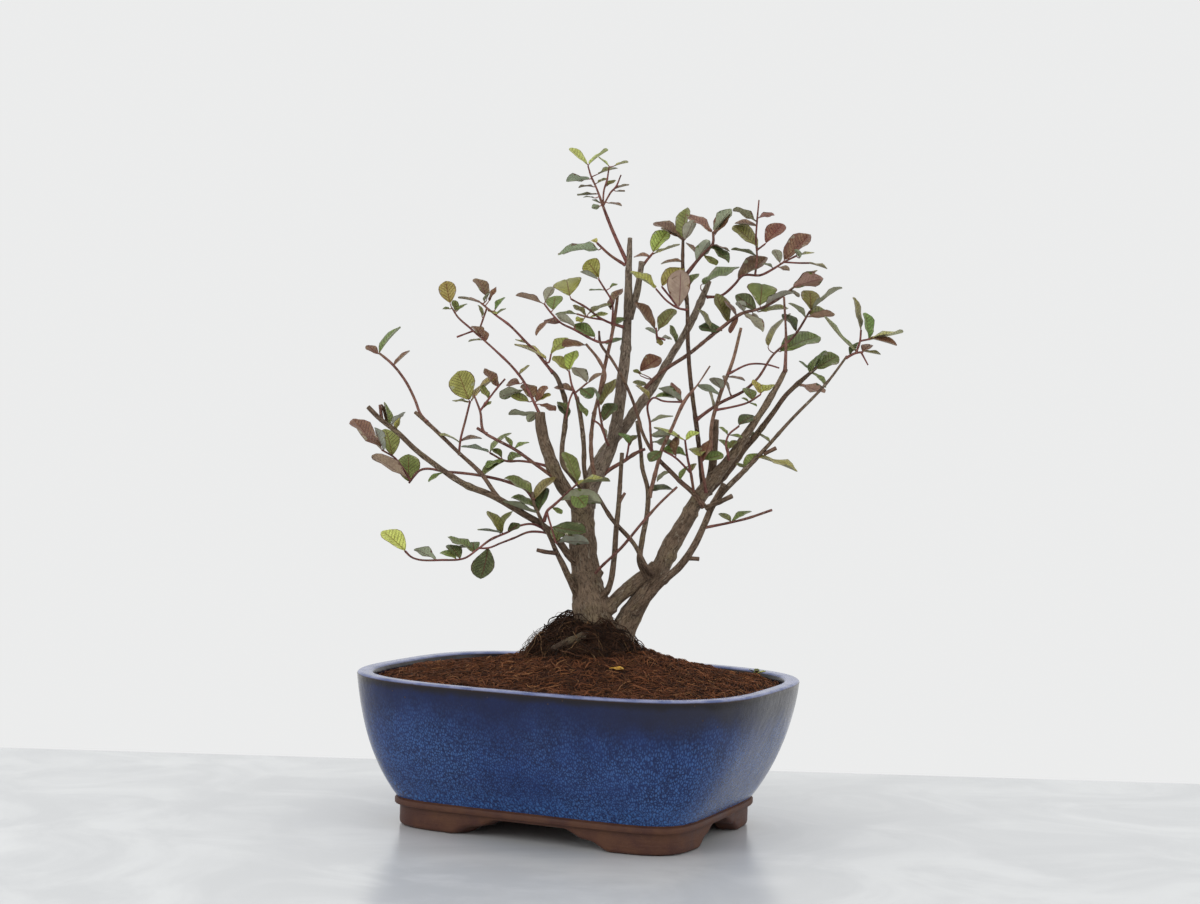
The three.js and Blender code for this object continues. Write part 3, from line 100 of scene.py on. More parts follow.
# Stems as routes of column, row, depth and thickness. A piece's first route is its main stem, and the
# others are its forks. Shoots are leafy twigs, and a twig without a thickness is TWIG thick. A leaf has
# the column and row of its base and of its tip, the width it is seen at, and a tone.
STEMS = {
    "trunk_left": [
        [[600, 668, 0, 27], [597, 640, 0, 24], [590, 600, 0, 20], [584, 560, 0, 16.5],
         [582, 520, 0, 14.5], [584, 492, 0, 11]],
    ],
    "trunk_right": [
        [[617, 655, 3, 17], [624, 628, 3, 14], [640, 601, 3, 11.5], [655, 578, 4, 11.5],
         [669, 550, 4, 11], [685, 522, 4, 9.8], [697, 500, 4, 9], [709, 484, 2, 8.2],
         [729, 460, 0, 6.4], [750, 429, -3, 4.5], [775, 390, -9, 3.6], [786, 369, -12, 2.6]],
        [[785, 372, -12, 2.4], [786, 340, -12, 1.6], [784, 297, -12, 1.4]],
        [[606, 610, -2, 8], [622, 594, 0, 8], [638, 581, 2, 8.5], [656, 567, 3, 9]],
    ],
    "surface_root": [
        [[588, 636, -18, 6.5], [572, 641, -23, 5.5], [558, 647, -20, 4.6], [547, 654, -17, 3.6],
         [538, 663, -14, 2.6]],
    ],
    "leader": [
        [[585, 505, 1, 11], [592, 484, 3, 10], [602, 466, 6, 9.4], [611, 446, 9, 7.6],
         [618, 414, 10, 7.3], [622, 381, 10, 6.9], [626, 346, 10, 6.1], [628, 300, 10, 5],
         [629, 262, 10, 3.8], [630, 238, 10, 2.8]],
        [[629, 318, 10, 4.6], [636, 296, 12, 4.4], [642, 262, 14, 3.4]],
    ],
    "limb_left": [
        [[582, 508, -2, 9], [570, 496, -6, 8.4], [557, 475, -8, 8], [547, 450, -10, 7.5],
         [541, 425, -12, 6.6], [540, 413, -12, 6.2]],
    ],
    "limb_back": [
        [[588, 490, 8, 8], [595, 468, 14, 7.4], [606, 450, 18, 7], [627, 424, 22, 6.4],
         [636, 410, 24, 6], [651, 390, 26, 5.4], [671, 356, 30, 4.4], [688, 328, 34, 4.2],
         [706, 289, 38, 3.8], [709, 281, 38, 3.2]],
    ],
    "limb_right_dark": [
        [[706, 492, 6, 5.4], [719, 480, 8, 5.2], [729, 469, 9, 5], [743, 450, 10, 4.6],
         [757, 434, 10, 3.8], [773, 413, 10, 3.2], [787, 394, 12, 3], [802, 380, 14, 2.6],
         [816, 368, 15, 2]],
    ],
    "limb_right_front": [
        [[634, 612, -4, 5.8], [648, 597, -9, 5.4], [660, 584, -10, 5], [680, 566, -10, 4.6],
         [694, 546, -10, 4.2], [705, 523, -10, 3.9], [712, 507, -10, 3.7], [725, 490, -11, 3.4],
         [742, 473, -12, 3.2], [763, 451, -14, 2.6], [790, 421, -17, 2], [830, 379, -22, 1.6],
         [847, 356, -24, 1.4]],
        [[685, 558, -10, 2.6], [699, 559, -10, 2.6]],
        [[706, 508, -10, 3], [719, 502, -14, 3], [732, 496, -17, 3.2]],
        [[713, 504, -10, 3.2], [724, 484, -13, 3.6]],
        [[764, 454, -14, 2.2], [776, 448, -15, 2.6]],
        [[703, 528, -10, 1.8], [728, 523, -14, 1.6], [745, 519, -17, 1.5], [772, 510, -20, 1.5]],
    ],
    "stump_right": [
        [[707, 493, 9, 5.4], [712, 470, 14, 5.2], [714, 445, 15, 5], [715, 420, 15, 5]],
    ],
    "stem_front_left": [
        [[598, 604, -4, 3.8], [609, 587, -10, 3.7], [614, 559, -13, 3.4], [616, 532, -14, 3.2],
         [619, 500, -14, 2.9], [621, 469, -14, 2.6], [622, 453, -14, 2.5]],
        [[619, 502, -14, 2.4], [625, 493, -15, 1.8]],
    ],
    "stem_middle": [
        [[648, 578, 0, 4], [640, 562, -5, 3.8], [642, 541, -6, 3.4], [647, 514, -5, 3],
         [648, 491, -2, 2.8], [642, 466, 3, 2.6], [641, 451, 6, 2.4], [637, 421, 7, 2.2]],
    ],
    "stem_fork": [
        [[652, 574, -3, 2.9], [646, 566, -9, 2.8], [634, 544, -10, 2.7], [612, 519, -9, 2.6],
         [597, 495, -8, 2.2]],
    ],
    "stem_low_cross": [
        [[592, 577, -5, 1.9], [601, 567, -12, 1.8], [621, 548, -19, 1.8], [642, 523, -20, 1.7],
         [660, 503, -20, 1.6], [677, 487, -20, 1.4]],
    ],
    "stem_long_cross": [
        [[704, 507, 0, 3.3], [695, 495, -1, 3.2], [681, 482, -2, 3], [669, 470, -3, 2.8],
         [660, 461, -3, 2.5], [652, 451, -4, 2.3], [643, 434, -3, 2.1], [637, 413, 0, 2],
         [626, 385, 1, 1.9], [612, 360, -2, 1.8], [600, 342, -4, 1.6], [599, 331, -5, 1.2]],
    ],
    "stem_tan_middle": [
        [[649, 497, -2, 2.6], [652, 486, -4, 2.5], [657, 467, -8, 2.4], [661, 452, -10, 2.3],
         [672, 428, -12, 2.1], [688, 396, -14, 2], [695, 388, -15, 1.2], [710, 366, -16, 1]],
    ],
    "stem_dark_tall": [
        [[703, 490, 7, 3], [700, 458, 10, 2.9], [697, 430, 10, 2.8], [695, 415, 10, 2.8],
         [690, 375, 10, 2.7], [688, 344, 10, 2.6], [687, 303, 10, 2.5], [683, 271, 10, 2.3],
         [683, 238, 10, 1.8]],
        [[685, 276, 10, 2.2], [702, 255, 8, 2], [713, 243, 6, 1.8], [713, 232, 6, 1.5]],
    ],
    "stem_back_right": [
        [[645, 389, 26, 2.6], [654, 379, 24, 2.5], [666, 369, 21, 2.4], [686, 356, 18, 2.3],
         [720, 329, 14, 2.2], [743, 313, 10, 2], [759, 309, 8, 1.8], [784, 295, 4, 1.6],
         [794, 287, 2, 1.4]],
    ],
    "stem_tan_right": [
        [[712, 458, 14, 2.4], [711, 444, 8, 2.4], [711, 430, 6, 2.4], [720, 395, 4, 2.4],
         [733, 360, 0, 2.2], [741, 328, -4, 1.8]],
        [[728, 374, 0, 1.4], [751, 364, -8, 1.2], [769, 365, -13, 1.1], [779, 368, -17, 1]],
        [[716, 410, 4, 1.5], [732, 407, 0, 1.3], [749, 402, -6, 1.2], [760, 395, -10, 1]],
    ],
    "stem_right_thin": [
        [[696, 420, 9, 2.3], [708, 411, 12, 2.2], [720, 403, 13, 2.1], [745, 390, 11, 1.9],
         [757, 379, 9, 1.6], [773, 355, 7, 1.5], [794, 336, 4, 1.5], [810, 311, 0, 1.3]],
    ],
    "branch_left_long": [
        [[582, 567, -2, 5], [572, 559, -6, 4.6], [560, 543, -9, 4.4], [543, 526, -14, 4.2],
         [522, 513, -19, 4.1], [493, 496, -26, 3.9], [464, 484, -32, 3.7], [441, 469, -36, 3.4],
         [416, 450, -41, 3.1], [397, 432, -45, 3], [378, 417, -48, 2.9], [368, 407, -50, 2.8]],
        [[382, 421, -47, 2], [380, 405, -45, 1.8]],
    ],
    "branch_left_upper": [
        [[501, 501, -25, 2.8], [494, 492, -22, 2.7], [483, 476, -20, 2.6], [458, 452, -18, 2.4],
         [432, 427, -16, 2.3], [415, 412, -15, 2.2]],
        [[427, 422, -16, 2], [421, 415, -14, 1.9], [415, 400, -10, 1.7], [406, 382, -6, 1.7],
         [390, 362, -2, 1.6], [379, 353, 0, 1.4]],
    ],
    "branch_left_side": [
        [[578, 598, -2, 4.6], [570, 580, -9, 4.2], [562, 563, -13, 3.6], [556, 551, -16, 3],
         [550, 537, -19, 2.6], [543, 524, -20, 2.3], [539, 515, -20, 2.1], [534, 504, -20, 1.9],
         [532, 492, -19, 1.6]],
        [[557, 553, -16, 2.6], [546, 552, -17, 2.5], [537, 550, -18, 2.4]],
    ],
    "stem_left_b": [
        [[581, 487, -4, 3.2], [570, 474, -8, 3.1], [563, 465, -9, 3], [562, 450, -9, 3],
         [565, 425, -7, 3], [566, 405, -6, 3], [562, 390, -6, 2.9], [556, 376, -6, 2.7],
         [550, 369, -5, 2]],
    ],
    "stem_left_c": [
        [[587, 487, -2, 3], [584, 465, -9, 2.8], [584, 450, -10, 2.8], [581, 420, -10, 2.7],
         [577, 397, -10, 2.4]],
    ],
    "stem_left_d": [
        [[595, 480, 0, 2.6], [592, 462, -2, 2.5], [591, 440, -3, 2.4], [594, 415, -4, 2.3],
         [600, 392, -5, 2.2], [605, 374, -5, 2], [600, 362, -6, 1.9], [586, 344, -8, 1.5]],
        [[594, 414, -4, 2.2], [600, 390, 0, 2.3], [605, 365, 3, 2.3], [612, 334, 5, 2.2],
         [617, 301, 6, 1.9], [618, 292, 6, 1.5]],
    ],
    "branch_left_thin": [
        [[534, 500, -20, 2], [525, 489, -14, 1.9], [508, 482, -9, 1.9], [483, 476, -4, 1.8],
         [449, 472, 4, 1.7], [419, 471, 10, 1.5], [409, 483, 12, 1.3]],
        [[411, 481, 12, 1.3], [404, 470, 8, 1.2], [395, 458, 3, 1.2], [382, 450, -2, 1.2]],
    ],
    "stem_left_thin": [
        [[553, 477, -9, 2.2], [535, 464, -14, 2.1], [514, 449, -18, 2], [495, 439, -20, 1.9],
         [485, 433, -21, 1.8], [480, 411, -16, 1.5], [474, 395, -12, 1.1]],
        [[480, 411, -16, 1.3], [488, 400, -14, 1.2], [498, 387, -10, 1.2], [505, 379, -8, 1.1]],
        [[487, 434, -21, 1.8], [477, 428, -22, 1.8]],
    ],
}

SHOOTS = {
    "shoot_apex": [
        [[628, 264, 10, 2.6], [618, 243, 12, 2.4], [609, 222, 14, 2.1], [603, 206, 15, 1.8],
         [596, 187, 16], [591, 176, 18], [588, 166, 20, 0.9]],
        [[603, 206, 15], [604, 190, 13], [607, 180, 11], [609, 167, 10, 0.9]],
        [[603, 206, 15], [608, 197, 14], [611, 192, 12], [615, 188, 10], [621, 175, 6, 0.9]],
    ],
    "shoot_leader_left": [
        [[625, 265, 10, 1.8], [610, 255, 6, 1.7], [597, 243, 2, 1.4]],
    ],
    "shoot_upper_middle": [
        [[623, 327, 7, 1.6], [608, 322, 2, 1.5], [600, 318, -2, 1.4], [587, 308, -8],
         [571, 299, -14]],
        [[604, 320, 0], [587, 317, -6], [577, 314, -9]],
        [[612, 323, 3], [612, 302, -3], [604, 288, -7], [599, 280, -9]],
    ],
    "shoot_middle_left": [
        [[611, 341, 3, 1.5], [599, 342, -9, 1.5], [573, 329, -15, 1.4], [561, 323, -18],
         [552, 314, -20], [545, 305, -22]],
    ],
    "shoot_upper_left_a": [
        [[540, 415, -12, 2], [531, 396, -8, 1.8], [524, 382, -4, 1.7], [515, 370, 0, 1.6],
         [496, 351, 6, 1.5], [486, 342, 9, 1.4], [470, 328, 13, 1.3], [457, 316, 17],
         [452, 308, 19, 1]],
        [[473, 331, 12], [457, 337, 8]],
    ],
    "shoot_upper_left_b": [
        [[553, 373, -6, 2], [535, 351, 0, 1.7], [526, 342, 3, 1.6], [508, 324, 8, 1.5],
         [497, 316, 11, 1.4], [487, 308, 14, 1.3], [481, 303, 16]],
        [[543, 361, -3], [549, 362, -8], [551, 354, -9]],
        [[487, 308, 14], [480, 328, 18]],
    ],
    "shoot_lime": [
        [[577, 399, -10, 2], [572, 386, -10, 1.4], [569, 371, -10]],
        [[575, 393, -11], [587, 383, -15]],
        [[574, 390, -10], [570, 399, -14], [566, 418, -15]],
    ],
    "shoot_leader_low": [
        [[609, 446, 7, 1.6], [606, 440, -2, 1.5], [602, 425, -7, 1.4], [598, 401, -11]],
        [[604, 433, -5, 1.4], [599, 424, -8], [593, 420, -10]],
    ],
    "shoot_leader_right": [
        [[604, 474, 4, 2.4], [612, 468, 2, 2.4], [624, 461, 1, 2.3], [636, 453, 0, 2.2],
         [645, 449, 0, 1.8]],
        [[626, 460, 1, 1.3], [628, 450, -3], [629, 443, -5]],
    ],
    "shoot_centre": [
        [[652, 453, -4, 1.8], [651, 440, -8, 1.6], [650, 424, -10, 1.5], [649, 402, -12, 1.3],
         [653, 398, -13], [663, 401, -13], [681, 402, -11]],
    ],
    "shoot_centre_right": [
        [[694, 494, -1, 1.8], [691, 474, -7, 1.6], [687, 455, -10, 1.5], [685, 440, -12]],
        [[690, 472, -7, 1.4], [673, 456, -15], [664, 451, -17]],
    ],
    "shoot_trunk_right": [
        [[706, 492, -1, 2], [703, 474, -8, 1.8], [701, 458, -10, 1.5]],
    ],
    "shoot_right_inner": [
        [[729, 461, -2, 1.6], [728, 455, -6, 1.3], [728, 450, -7]],
        [[728, 455, -6, 1.3], [726, 444, -7], [728, 436, -6], [739, 426, -8]],
    ],
    "shoot_tan_spur": [
        [[641, 268, 14, 2], [647, 260, 14, 1.6], [653, 253, 14, 1.2]],
    ],
    "shoot_hub": [
        [[687, 310, 9, 1.6], [678, 308, 4, 1.4], [667, 301, 0], [656, 289, -3]],
        [[678, 308, 4], [670, 297, 3], [662, 287, 2]],
    ],
    "shoot_back_low": [
        [[658, 342, 6, 1.6], [657, 337, 0, 1.5], [656, 328, -3]],
        [[657, 337, 0], [665, 340, -4]],
    ],
    "shoot_top_right": [
        [[707, 297, 38, 1.9], [720, 296, 34, 1.7], [735, 284, 30, 1.6], [742, 276, 28, 1.6],
         [761, 275, 26, 1.5], [773, 269, 24, 1.4], [784, 262, 22, 1.3], [796, 256, 20]],
        [[755, 276, 27, 1.4], [757, 258, 28, 1.3], [756, 240, 29, 1.2], [757, 222, 30, 1.1],
         [759, 200, 30, 0.9]],
        [[757, 250, 28], [765, 244, 26]],
        [[783, 262, 22], [799, 263, 20], [809, 263, 18]],
    ],
    "shoot_far_right": [
        [[846, 358, -24, 1.6], [856, 353, -26, 1.4], [863, 352, -27]],
        [[856, 353, -26, 1.4], [860, 341, -28, 1.3], [861, 330, -29]],
        [[860, 341, -28], [870, 339, -30]],
        [[861, 352, -27], [868, 365, -28, 0.9]],
    ],
    "shoot_left_red": [
        [[459, 455, -18, 1.5], [460, 443, -16, 1.4], [466, 418, -12, 1.4], [470, 402, -9, 1.3]],
    ],
    "shoot_left_low": [
        [[545, 529, -15, 1.7], [531, 524, -21, 1.4], [519, 526, -25, 1.3], [508, 532, -29, 1.3],
         [490, 540, -34, 1.3], [478, 549, -38], [465, 558, -42], [443, 560, -46], [410, 556, -52],
         [405, 551, -54]],
    ],
    "shoot_left_hang": [
        [[550, 534, -11, 1.5], [541, 532, -6, 1.4], [529, 532, -1, 1.4], [514, 538, 4, 1.3],
         [501, 543, 8], [488, 548, 12], [476, 548, 15]],
    ],
    "shoot_left_middle": [
        [[549, 467, -10, 1.9], [543, 465, -7, 1.7], [535, 463, -5, 1.6], [520, 461, -1, 1.5],
         [506, 461, 2, 1.4], [490, 453, 5]],
    ],
    "shoot_centre_left": [
        [[544, 521, -21, 2], [548, 510, -26, 1.8], [554, 505, -28, 1.7], [564, 496, -30, 1.5],
         [577, 484, -31]],
        [[547, 513, -25, 1.4], [551, 526, -29], [556, 543, -31]],
    ],
}

LEAVES = {
    "shoot_apex": [
        [588, 165, 569, 148, 7, "L"], [589, 164, 607, 147, 6, "L"], [609, 166, 599, 156, 3, "L"],
        [614, 166, 628, 160, 3, "Y"], [598, 174, 617, 165, 5, "O"], [590, 179, 566, 181, 5, "S"],
        [594, 187, 579, 183, 3, "B"], [597, 194, 577, 194, 2, "B"], [594, 198, 584, 194, 2, "B"],
        [600, 203, 592, 199, 3, "D"], [600, 206, 592, 207, 5, "S"], [597, 183, 608, 177, 4, "O"],
        [607, 186, 615, 178, 6, "O"], [614, 189, 629, 183, 3, "B"], [615, 191, 625, 192, 2, "B"],
        [608, 203, 622, 205, 3, "B"],
    ],
    "shoot_leader_left": [
        [597, 243, 592, 238, 6, "Y"], [599, 250, 558, 248, 7, "S"],
    ],
    "shoot_upper_middle": [
        [599, 278, 587, 259, 19, "Y"], [570, 296, 565, 272, 30, "Y"], [598, 279, 580, 273, 2, "S"],
        [610, 288, 617, 282, 4, "G"], [604, 290, 589, 289, 2, "G"], [577, 314, 555, 312, 6, "O"],
        [586, 315, 573, 304, 7, "O"], [588, 314, 610, 300, 7, "O"], [590, 317, 608, 313, 5, "L"],
        [610, 309, 620, 286, 8, "B"], [584, 319, 576, 322, 7, "Y"],
    ],
    "shoot_middle_left": [
        [553, 310, 555, 293, 17, "G"], [545, 302, 553, 287, 7, "S"], [542, 303, 516, 295, 4, "P"],
        [560, 323, 544, 320, 8, "B"], [551, 320, 534, 332, 6, "B"], [575, 326, 556, 317, 8, "S"],
        [595, 337, 573, 326, 11, "G"],
    ],
    "shoot_upper_left_a": [
        [450, 303, 445, 280, 18, "Y"], [455, 311, 454, 300, 7, "G"], [457, 311, 466, 302, 5, "G"],
        [450, 309, 442, 308, 4, "G"], [483, 338, 473, 324, 10, "B"], [486, 341, 481, 329, 8, "B"],
        [482, 340, 468, 339, 2, "O"], [520, 384, 506, 381, 10, "B"], [524, 390, 499, 395, 8, "S"],
        [529, 402, 512, 395, 10, "O"], [532, 399, 525, 382, 13, "B"], [536, 402, 545, 385, 10, "B"],
        [518, 375, 530, 366, 3, "O"], [537, 413, 508, 416, 6, "S"], [538, 412, 527, 420, 8, "S"],
        [539, 404, 556, 411, 6, "B"], [537, 401, 551, 395, 4, "Y"],
    ],
    "shoot_upper_left_b": [
        [482, 317, 480, 304, 4, "O"], [481, 303, 458, 295, 4, "B"], [487, 298, 478, 275, 12, "B"],
        [489, 301, 497, 287, 6, "B"], [484, 303, 487, 292, 4, "S"], [495, 310, 504, 296, 6, "G"],
        [497, 314, 505, 307, 3, "G"], [488, 311, 498, 314, 3, "L"], [527, 343, 515, 340, 2, "Y"],
        [546, 359, 516, 340, 4, "Y"], [551, 354, 567, 336, 13, "L"],
    ],
    "shoot_lime": [
        [569, 370, 574, 349, 14, "L"], [568, 371, 553, 356, 8, "L"], [587, 382, 574, 366, 12, "S"],
        [588, 383, 603, 372, 5, "B"], [574, 391, 554, 385, 9, "B"], [580, 388, 593, 397, 11, "D"],
        [568, 412, 558, 401, 8, "D"], [567, 419, 560, 403, 11, "D"], [576, 401, 588, 415, 6, "G"],
    ],
    "stem_left_d": [
        [586, 345, 562, 347, 8, "B"],
    ],
    "shoot_leader_low": [
        [603, 421, 614, 401, 14, "D"], [606, 438, 603, 427, 5, "S"], [600, 405, 617, 379, 12, "O"],
        [598, 401, 595, 386, 5, "S"],
    ],
    "shoot_leader_right": [
        [629, 444, 622, 430, 9, "G"], [629, 446, 636, 434, 5, "D"],
    ],
    "shoot_centre": [
        [651, 422, 672, 413, 5, "S"], [652, 442, 674, 444, 7, "S"], [651, 436, 670, 434, 8, "S"],
        [655, 397, 675, 395, 6, "G"], [681, 401, 659, 387, 6, "S"], [682, 402, 670, 383, 6, "B"],
        [650, 400, 638, 383, 7, "O"],
    ],
    "shoot_centre_right": [
        [684, 440, 654, 427, 6, "L"], [686, 440, 699, 430, 8, "L"], [687, 456, 664, 448, 7, "G"],
        [676, 456, 677, 434, 7, "B"], [688, 466, 680, 479, 5, "G"], [691, 472, 694, 462, 7, "O"],
        [661, 451, 649, 460, 11, "D"],
    ],
    "shoot_trunk_right": [
        [701, 457, 699, 443, 24, "Y"], [703, 460, 724, 455, 9, "G"], [702, 462, 712, 440, 9, "B"],
    ],
    "stem_middle": [
        [650, 491, 673, 487, 8, "D"],
    ],
    "stem_long_cross": [
        [671, 472, 656, 477, 4, "S"],
    ],
    "shoot_right_inner": [
        [728, 449, 721, 437, 9, "G"], [729, 449, 736, 440, 6, "G"], [739, 425, 755, 413, 12, "D"],
        [728, 435, 720, 426, 4, "G"], [730, 435, 742, 438, 3, "G"],
    ],
    "stem_tan_right": [
        [761, 394, 754, 380, 9, "Y"], [761, 393, 777, 382, 10, "Y"], [752, 400, 749, 386, 14, "G"],
        [749, 402, 742, 397, 3, "G"], [750, 403, 757, 406, 3, "G"], [722, 390, 713, 375, 11, "S"],
        [728, 377, 745, 379, 4, "B"], [720, 395, 697, 385, 6, "S"],
    ],
    "shoot_tan_spur": [
        [653, 252, 668, 229, 15, "L"], [653, 254, 680, 243, 4, "Y"], [650, 257, 634, 253, 6, "B"],
    ],
    "shoot_hub": [
        [656, 288, 630, 271, 8, "Y"], [662, 286, 682, 263, 15, "Y"], [679, 307, 681, 271, 25, "P"],
    ],
    "shoot_back_low": [
        [658, 331, 675, 308, 13, "O"], [655, 329, 634, 303, 10, "B"], [657, 335, 646, 327, 3, "S"],
        [661, 338, 672, 338, 3, "S"], [658, 338, 661, 345, 6, "O"],
    ],
    "leader": [
        [627, 318, 611, 324, 8, "G"], [625, 338, 606, 346, 6, "G"],
    ],
    "limb_back": [
        [640, 371, 661, 356, 16, "B"], [648, 386, 633, 382, 7, "O"], [676, 343, 670, 325, 8, "G"],
        [642, 374, 633, 371, 4, "O"],
    ],
    "stem_dark_tall": [
        [682, 240, 656, 218, 13, "B"], [681, 238, 662, 226, 3, "B"], [683, 238, 686, 206, 14, "O"],
        [685, 240, 693, 222, 12, "S"], [712, 232, 688, 211, 12, "B"], [714, 231, 730, 209, 9, "S"],
        [715, 235, 731, 210, 12, "B"], [683, 262, 661, 259, 6, "B"], [700, 257, 686, 242, 4, "B"],
        [696, 261, 709, 241, 14, "S"], [710, 246, 730, 260, 11, "D"], [712, 245, 730, 250, 4, "B"],
        [704, 255, 716, 266, 9, "O"], [689, 286, 697, 271, 8, "G"],
    ],
    "shoot_top_right": [
        [758, 248, 735, 223, 16, "O"], [757, 226, 735, 222, 6, "B"], [757, 222, 733, 209, 4, "S"],
        [758, 218, 774, 214, 4, "P"], [766, 243, 783, 221, 13, "B"], [738, 279, 769, 258, 13, "B"],
        [756, 256, 733, 245, 4, "D"], [784, 260, 812, 235, 16, "B"], [780, 263, 774, 250, 8, "S"],
        [800, 258, 796, 249, 6, "S"], [797, 255, 815, 252, 2, "Y"], [808, 263, 827, 268, 4, "O"],
        [778, 267, 790, 270, 4, "P"], [773, 268, 763, 262, 3, "S"], [702, 284, 740, 264, 13, "G"],
    ],
    "stem_back_right": [
        [760, 306, 765, 276, 31, "G"], [756, 310, 736, 295, 16, "D"], [744, 312, 738, 301, 8, "S"],
        [765, 306, 790, 288, 7, "S"], [793, 287, 822, 277, 14, "P"], [794, 286, 816, 270, 6, "P"],
        [722, 331, 699, 326, 12, "D"], [728, 322, 714, 295, 13, "O"], [712, 333, 701, 306, 9, "O"],
        [738, 318, 725, 300, 6, "B"], [752, 312, 758, 321, 5, "S"], [738, 317, 729, 333, 6, "B"],
        [744, 314, 765, 329, 8, "S"], [758, 312, 789, 306, 7, "O"], [790, 290, 800, 296, 4, "S"],
    ],
    "stem_right_thin": [
        [768, 346, 783, 308, 10, "O"], [796, 331, 786, 311, 10, "D"], [780, 352, 820, 330, 19, "G"],
        [806, 318, 790, 301, 4, "S"], [811, 310, 811, 287, 20, "O"], [811, 310, 838, 285, 4, "S"],
        [809, 314, 830, 307, 10, "O"], [808, 317, 834, 316, 6, "P"], [713, 408, 711, 388, 4, "O"],
        [731, 397, 724, 375, 4, "B"],
    ],
    "limb_right_dark": [
        [816, 369, 839, 354, 14, "G"], [816, 368, 825, 349, 6, "G"], [810, 373, 815, 356, 7, "G"],
        [799, 384, 826, 393, 9, "P"], [812, 371, 799, 361, 4, "G"], [811, 373, 828, 382, 5, "G"],
        [756, 436, 748, 433, 6, "D"], [758, 434, 770, 441, 3, "G"],
    ],
    "limb_right_front": [
        [731, 522, 721, 511, 8, "G"], [732, 522, 751, 509, 6, "G"], [747, 470, 757, 453, 11, "G"],
        [758, 457, 797, 469, 5, "Y"], [746, 469, 737, 463, 4, "D"],
    ],
    "shoot_far_right": [
        [850, 355, 859, 341, 6, "D"], [863, 352, 872, 342, 9, "B"], [863, 351, 880, 355, 4, "O"],
        [857, 352, 822, 320, 8, "G"], [861, 330, 853, 297, 9, "O"], [869, 339, 866, 312, 11, "G"],
        [870, 338, 896, 345, 7, "B"], [868, 340, 905, 332, 4, "Y"],
    ],
    "branch_left_long": [
        [389, 425, 383, 402, 5, "G"], [390, 426, 405, 411, 3, "S"], [396, 431, 400, 416, 7, "Y"],
        [387, 424, 380, 404, 4, "B"],
    ],
    "branch_left_upper": [
        [379, 353, 397, 324, 11, "G"], [378, 354, 366, 345, 8, "B"], [393, 366, 409, 350, 7, "B"],
    ],
    "branch_left_thin": [
        [409, 482, 407, 452, 24, "G"], [407, 478, 374, 454, 12, "P"], [382, 450, 350, 420, 10, "B"],
        [392, 456, 386, 427, 19, "O"], [384, 451, 376, 427, 8, "S"], [444, 472, 428, 480, 4, "G"],
    ],
    "branch_left_side": [
        [534, 500, 552, 474, 10, "O"], [533, 495, 505, 476, 10, "G"], [539, 512, 543, 486, 15, "D"],
        [537, 508, 511, 497, 7, "G"], [538, 513, 503, 504, 6, "S"],
    ],
    "shoot_left_red": [
        [469, 400, 457, 371, 27, "Y"], [469, 402, 452, 399, 5, "O"], [471, 401, 493, 374, 4, "Y"],
        [461, 441, 481, 435, 5, "B"], [460, 443, 443, 430, 2, "S"],
    ],
    "stem_left_thin": [
        [489, 399, 480, 386, 6, "O"], [498, 387, 484, 369, 10, "B"], [483, 408, 490, 400, 6, "O"],
        [512, 448, 505, 436, 5, "G"], [514, 449, 528, 440, 5, "G"],
    ],
    "shoot_left_low": [
        [405, 551, 382, 529, 15, "L"], [436, 560, 416, 546, 12, "S"], [456, 559, 442, 548, 7, "G"],
        [474, 551, 448, 535, 9, "G"], [460, 559, 449, 543, 12, "D"], [474, 552, 472, 541, 12, "D"],
        [508, 532, 519, 524, 8, "D"], [503, 533, 478, 528, 3, "S"], [502, 533, 488, 510, 10, "O"],
        [500, 534, 507, 509, 9, "O"],
    ],
    "shoot_left_hang": [
        [488, 548, 484, 580, 22, "D"], [477, 548, 457, 545, 4, "S"],
    ],
    "shoot_left_middle": [
        [508, 462, 520, 451, 11, "G"], [505, 461, 481, 473, 7, "G"], [505, 460, 485, 464, 4, "G"],
        [502, 458, 493, 448, 6, "G"], [490, 452, 507, 429, 7, "G"], [489, 452, 462, 444, 6, "S"],
    ],
    "shoot_centre_left": [
        [577, 483, 567, 450, 14, "G"], [560, 500, 602, 499, 15, "S"], [572, 490, 586, 506, 19, "G"],
        [552, 527, 586, 532, 13, "D"], [556, 542, 560, 526, 17, "G"], [557, 543, 589, 537, 12, "S"],
        [577, 484, 610, 478, 3, "Y"], [552, 507, 562, 514, 5, "G"],
    ],
}


def seen_at(column, row, depth):
    """The point at a picture column and row, a depth in millimetres behind the pot's middle."""
    column, row, depth = (np.asarray(value, float)[..., None] for value in (column, row, depth))
    reach = DISTANCE + depth * MM
    across = (column - PICTURE[0] / 2) / FOCAL
    down = (row - PICTURE[1] / 2) / FOCAL
    return EYE + reach * (RIGHT * across - UP * down - BACK)


def unit(vectors):
    return vectors / np.linalg.norm(vectors, axis=-1, keepdims=True)


# Two rings close a tube's end: how far each stands out and how wide it is, as shares of the radius
CAP_REACH = np.array([0.12, 0.2])
CAP_WIDTH = np.array([0.86, 0.45])
LATTICE = np.random.default_rng(3).uniform(-1, 1, 4096)
# Whole numbers that pick one of the lattice's values for a corner's place and a seed
CORNER_KEYS = np.array([73, 179, 283]) * 37
SEED_KEY = 911
SCATTER = 2654435761


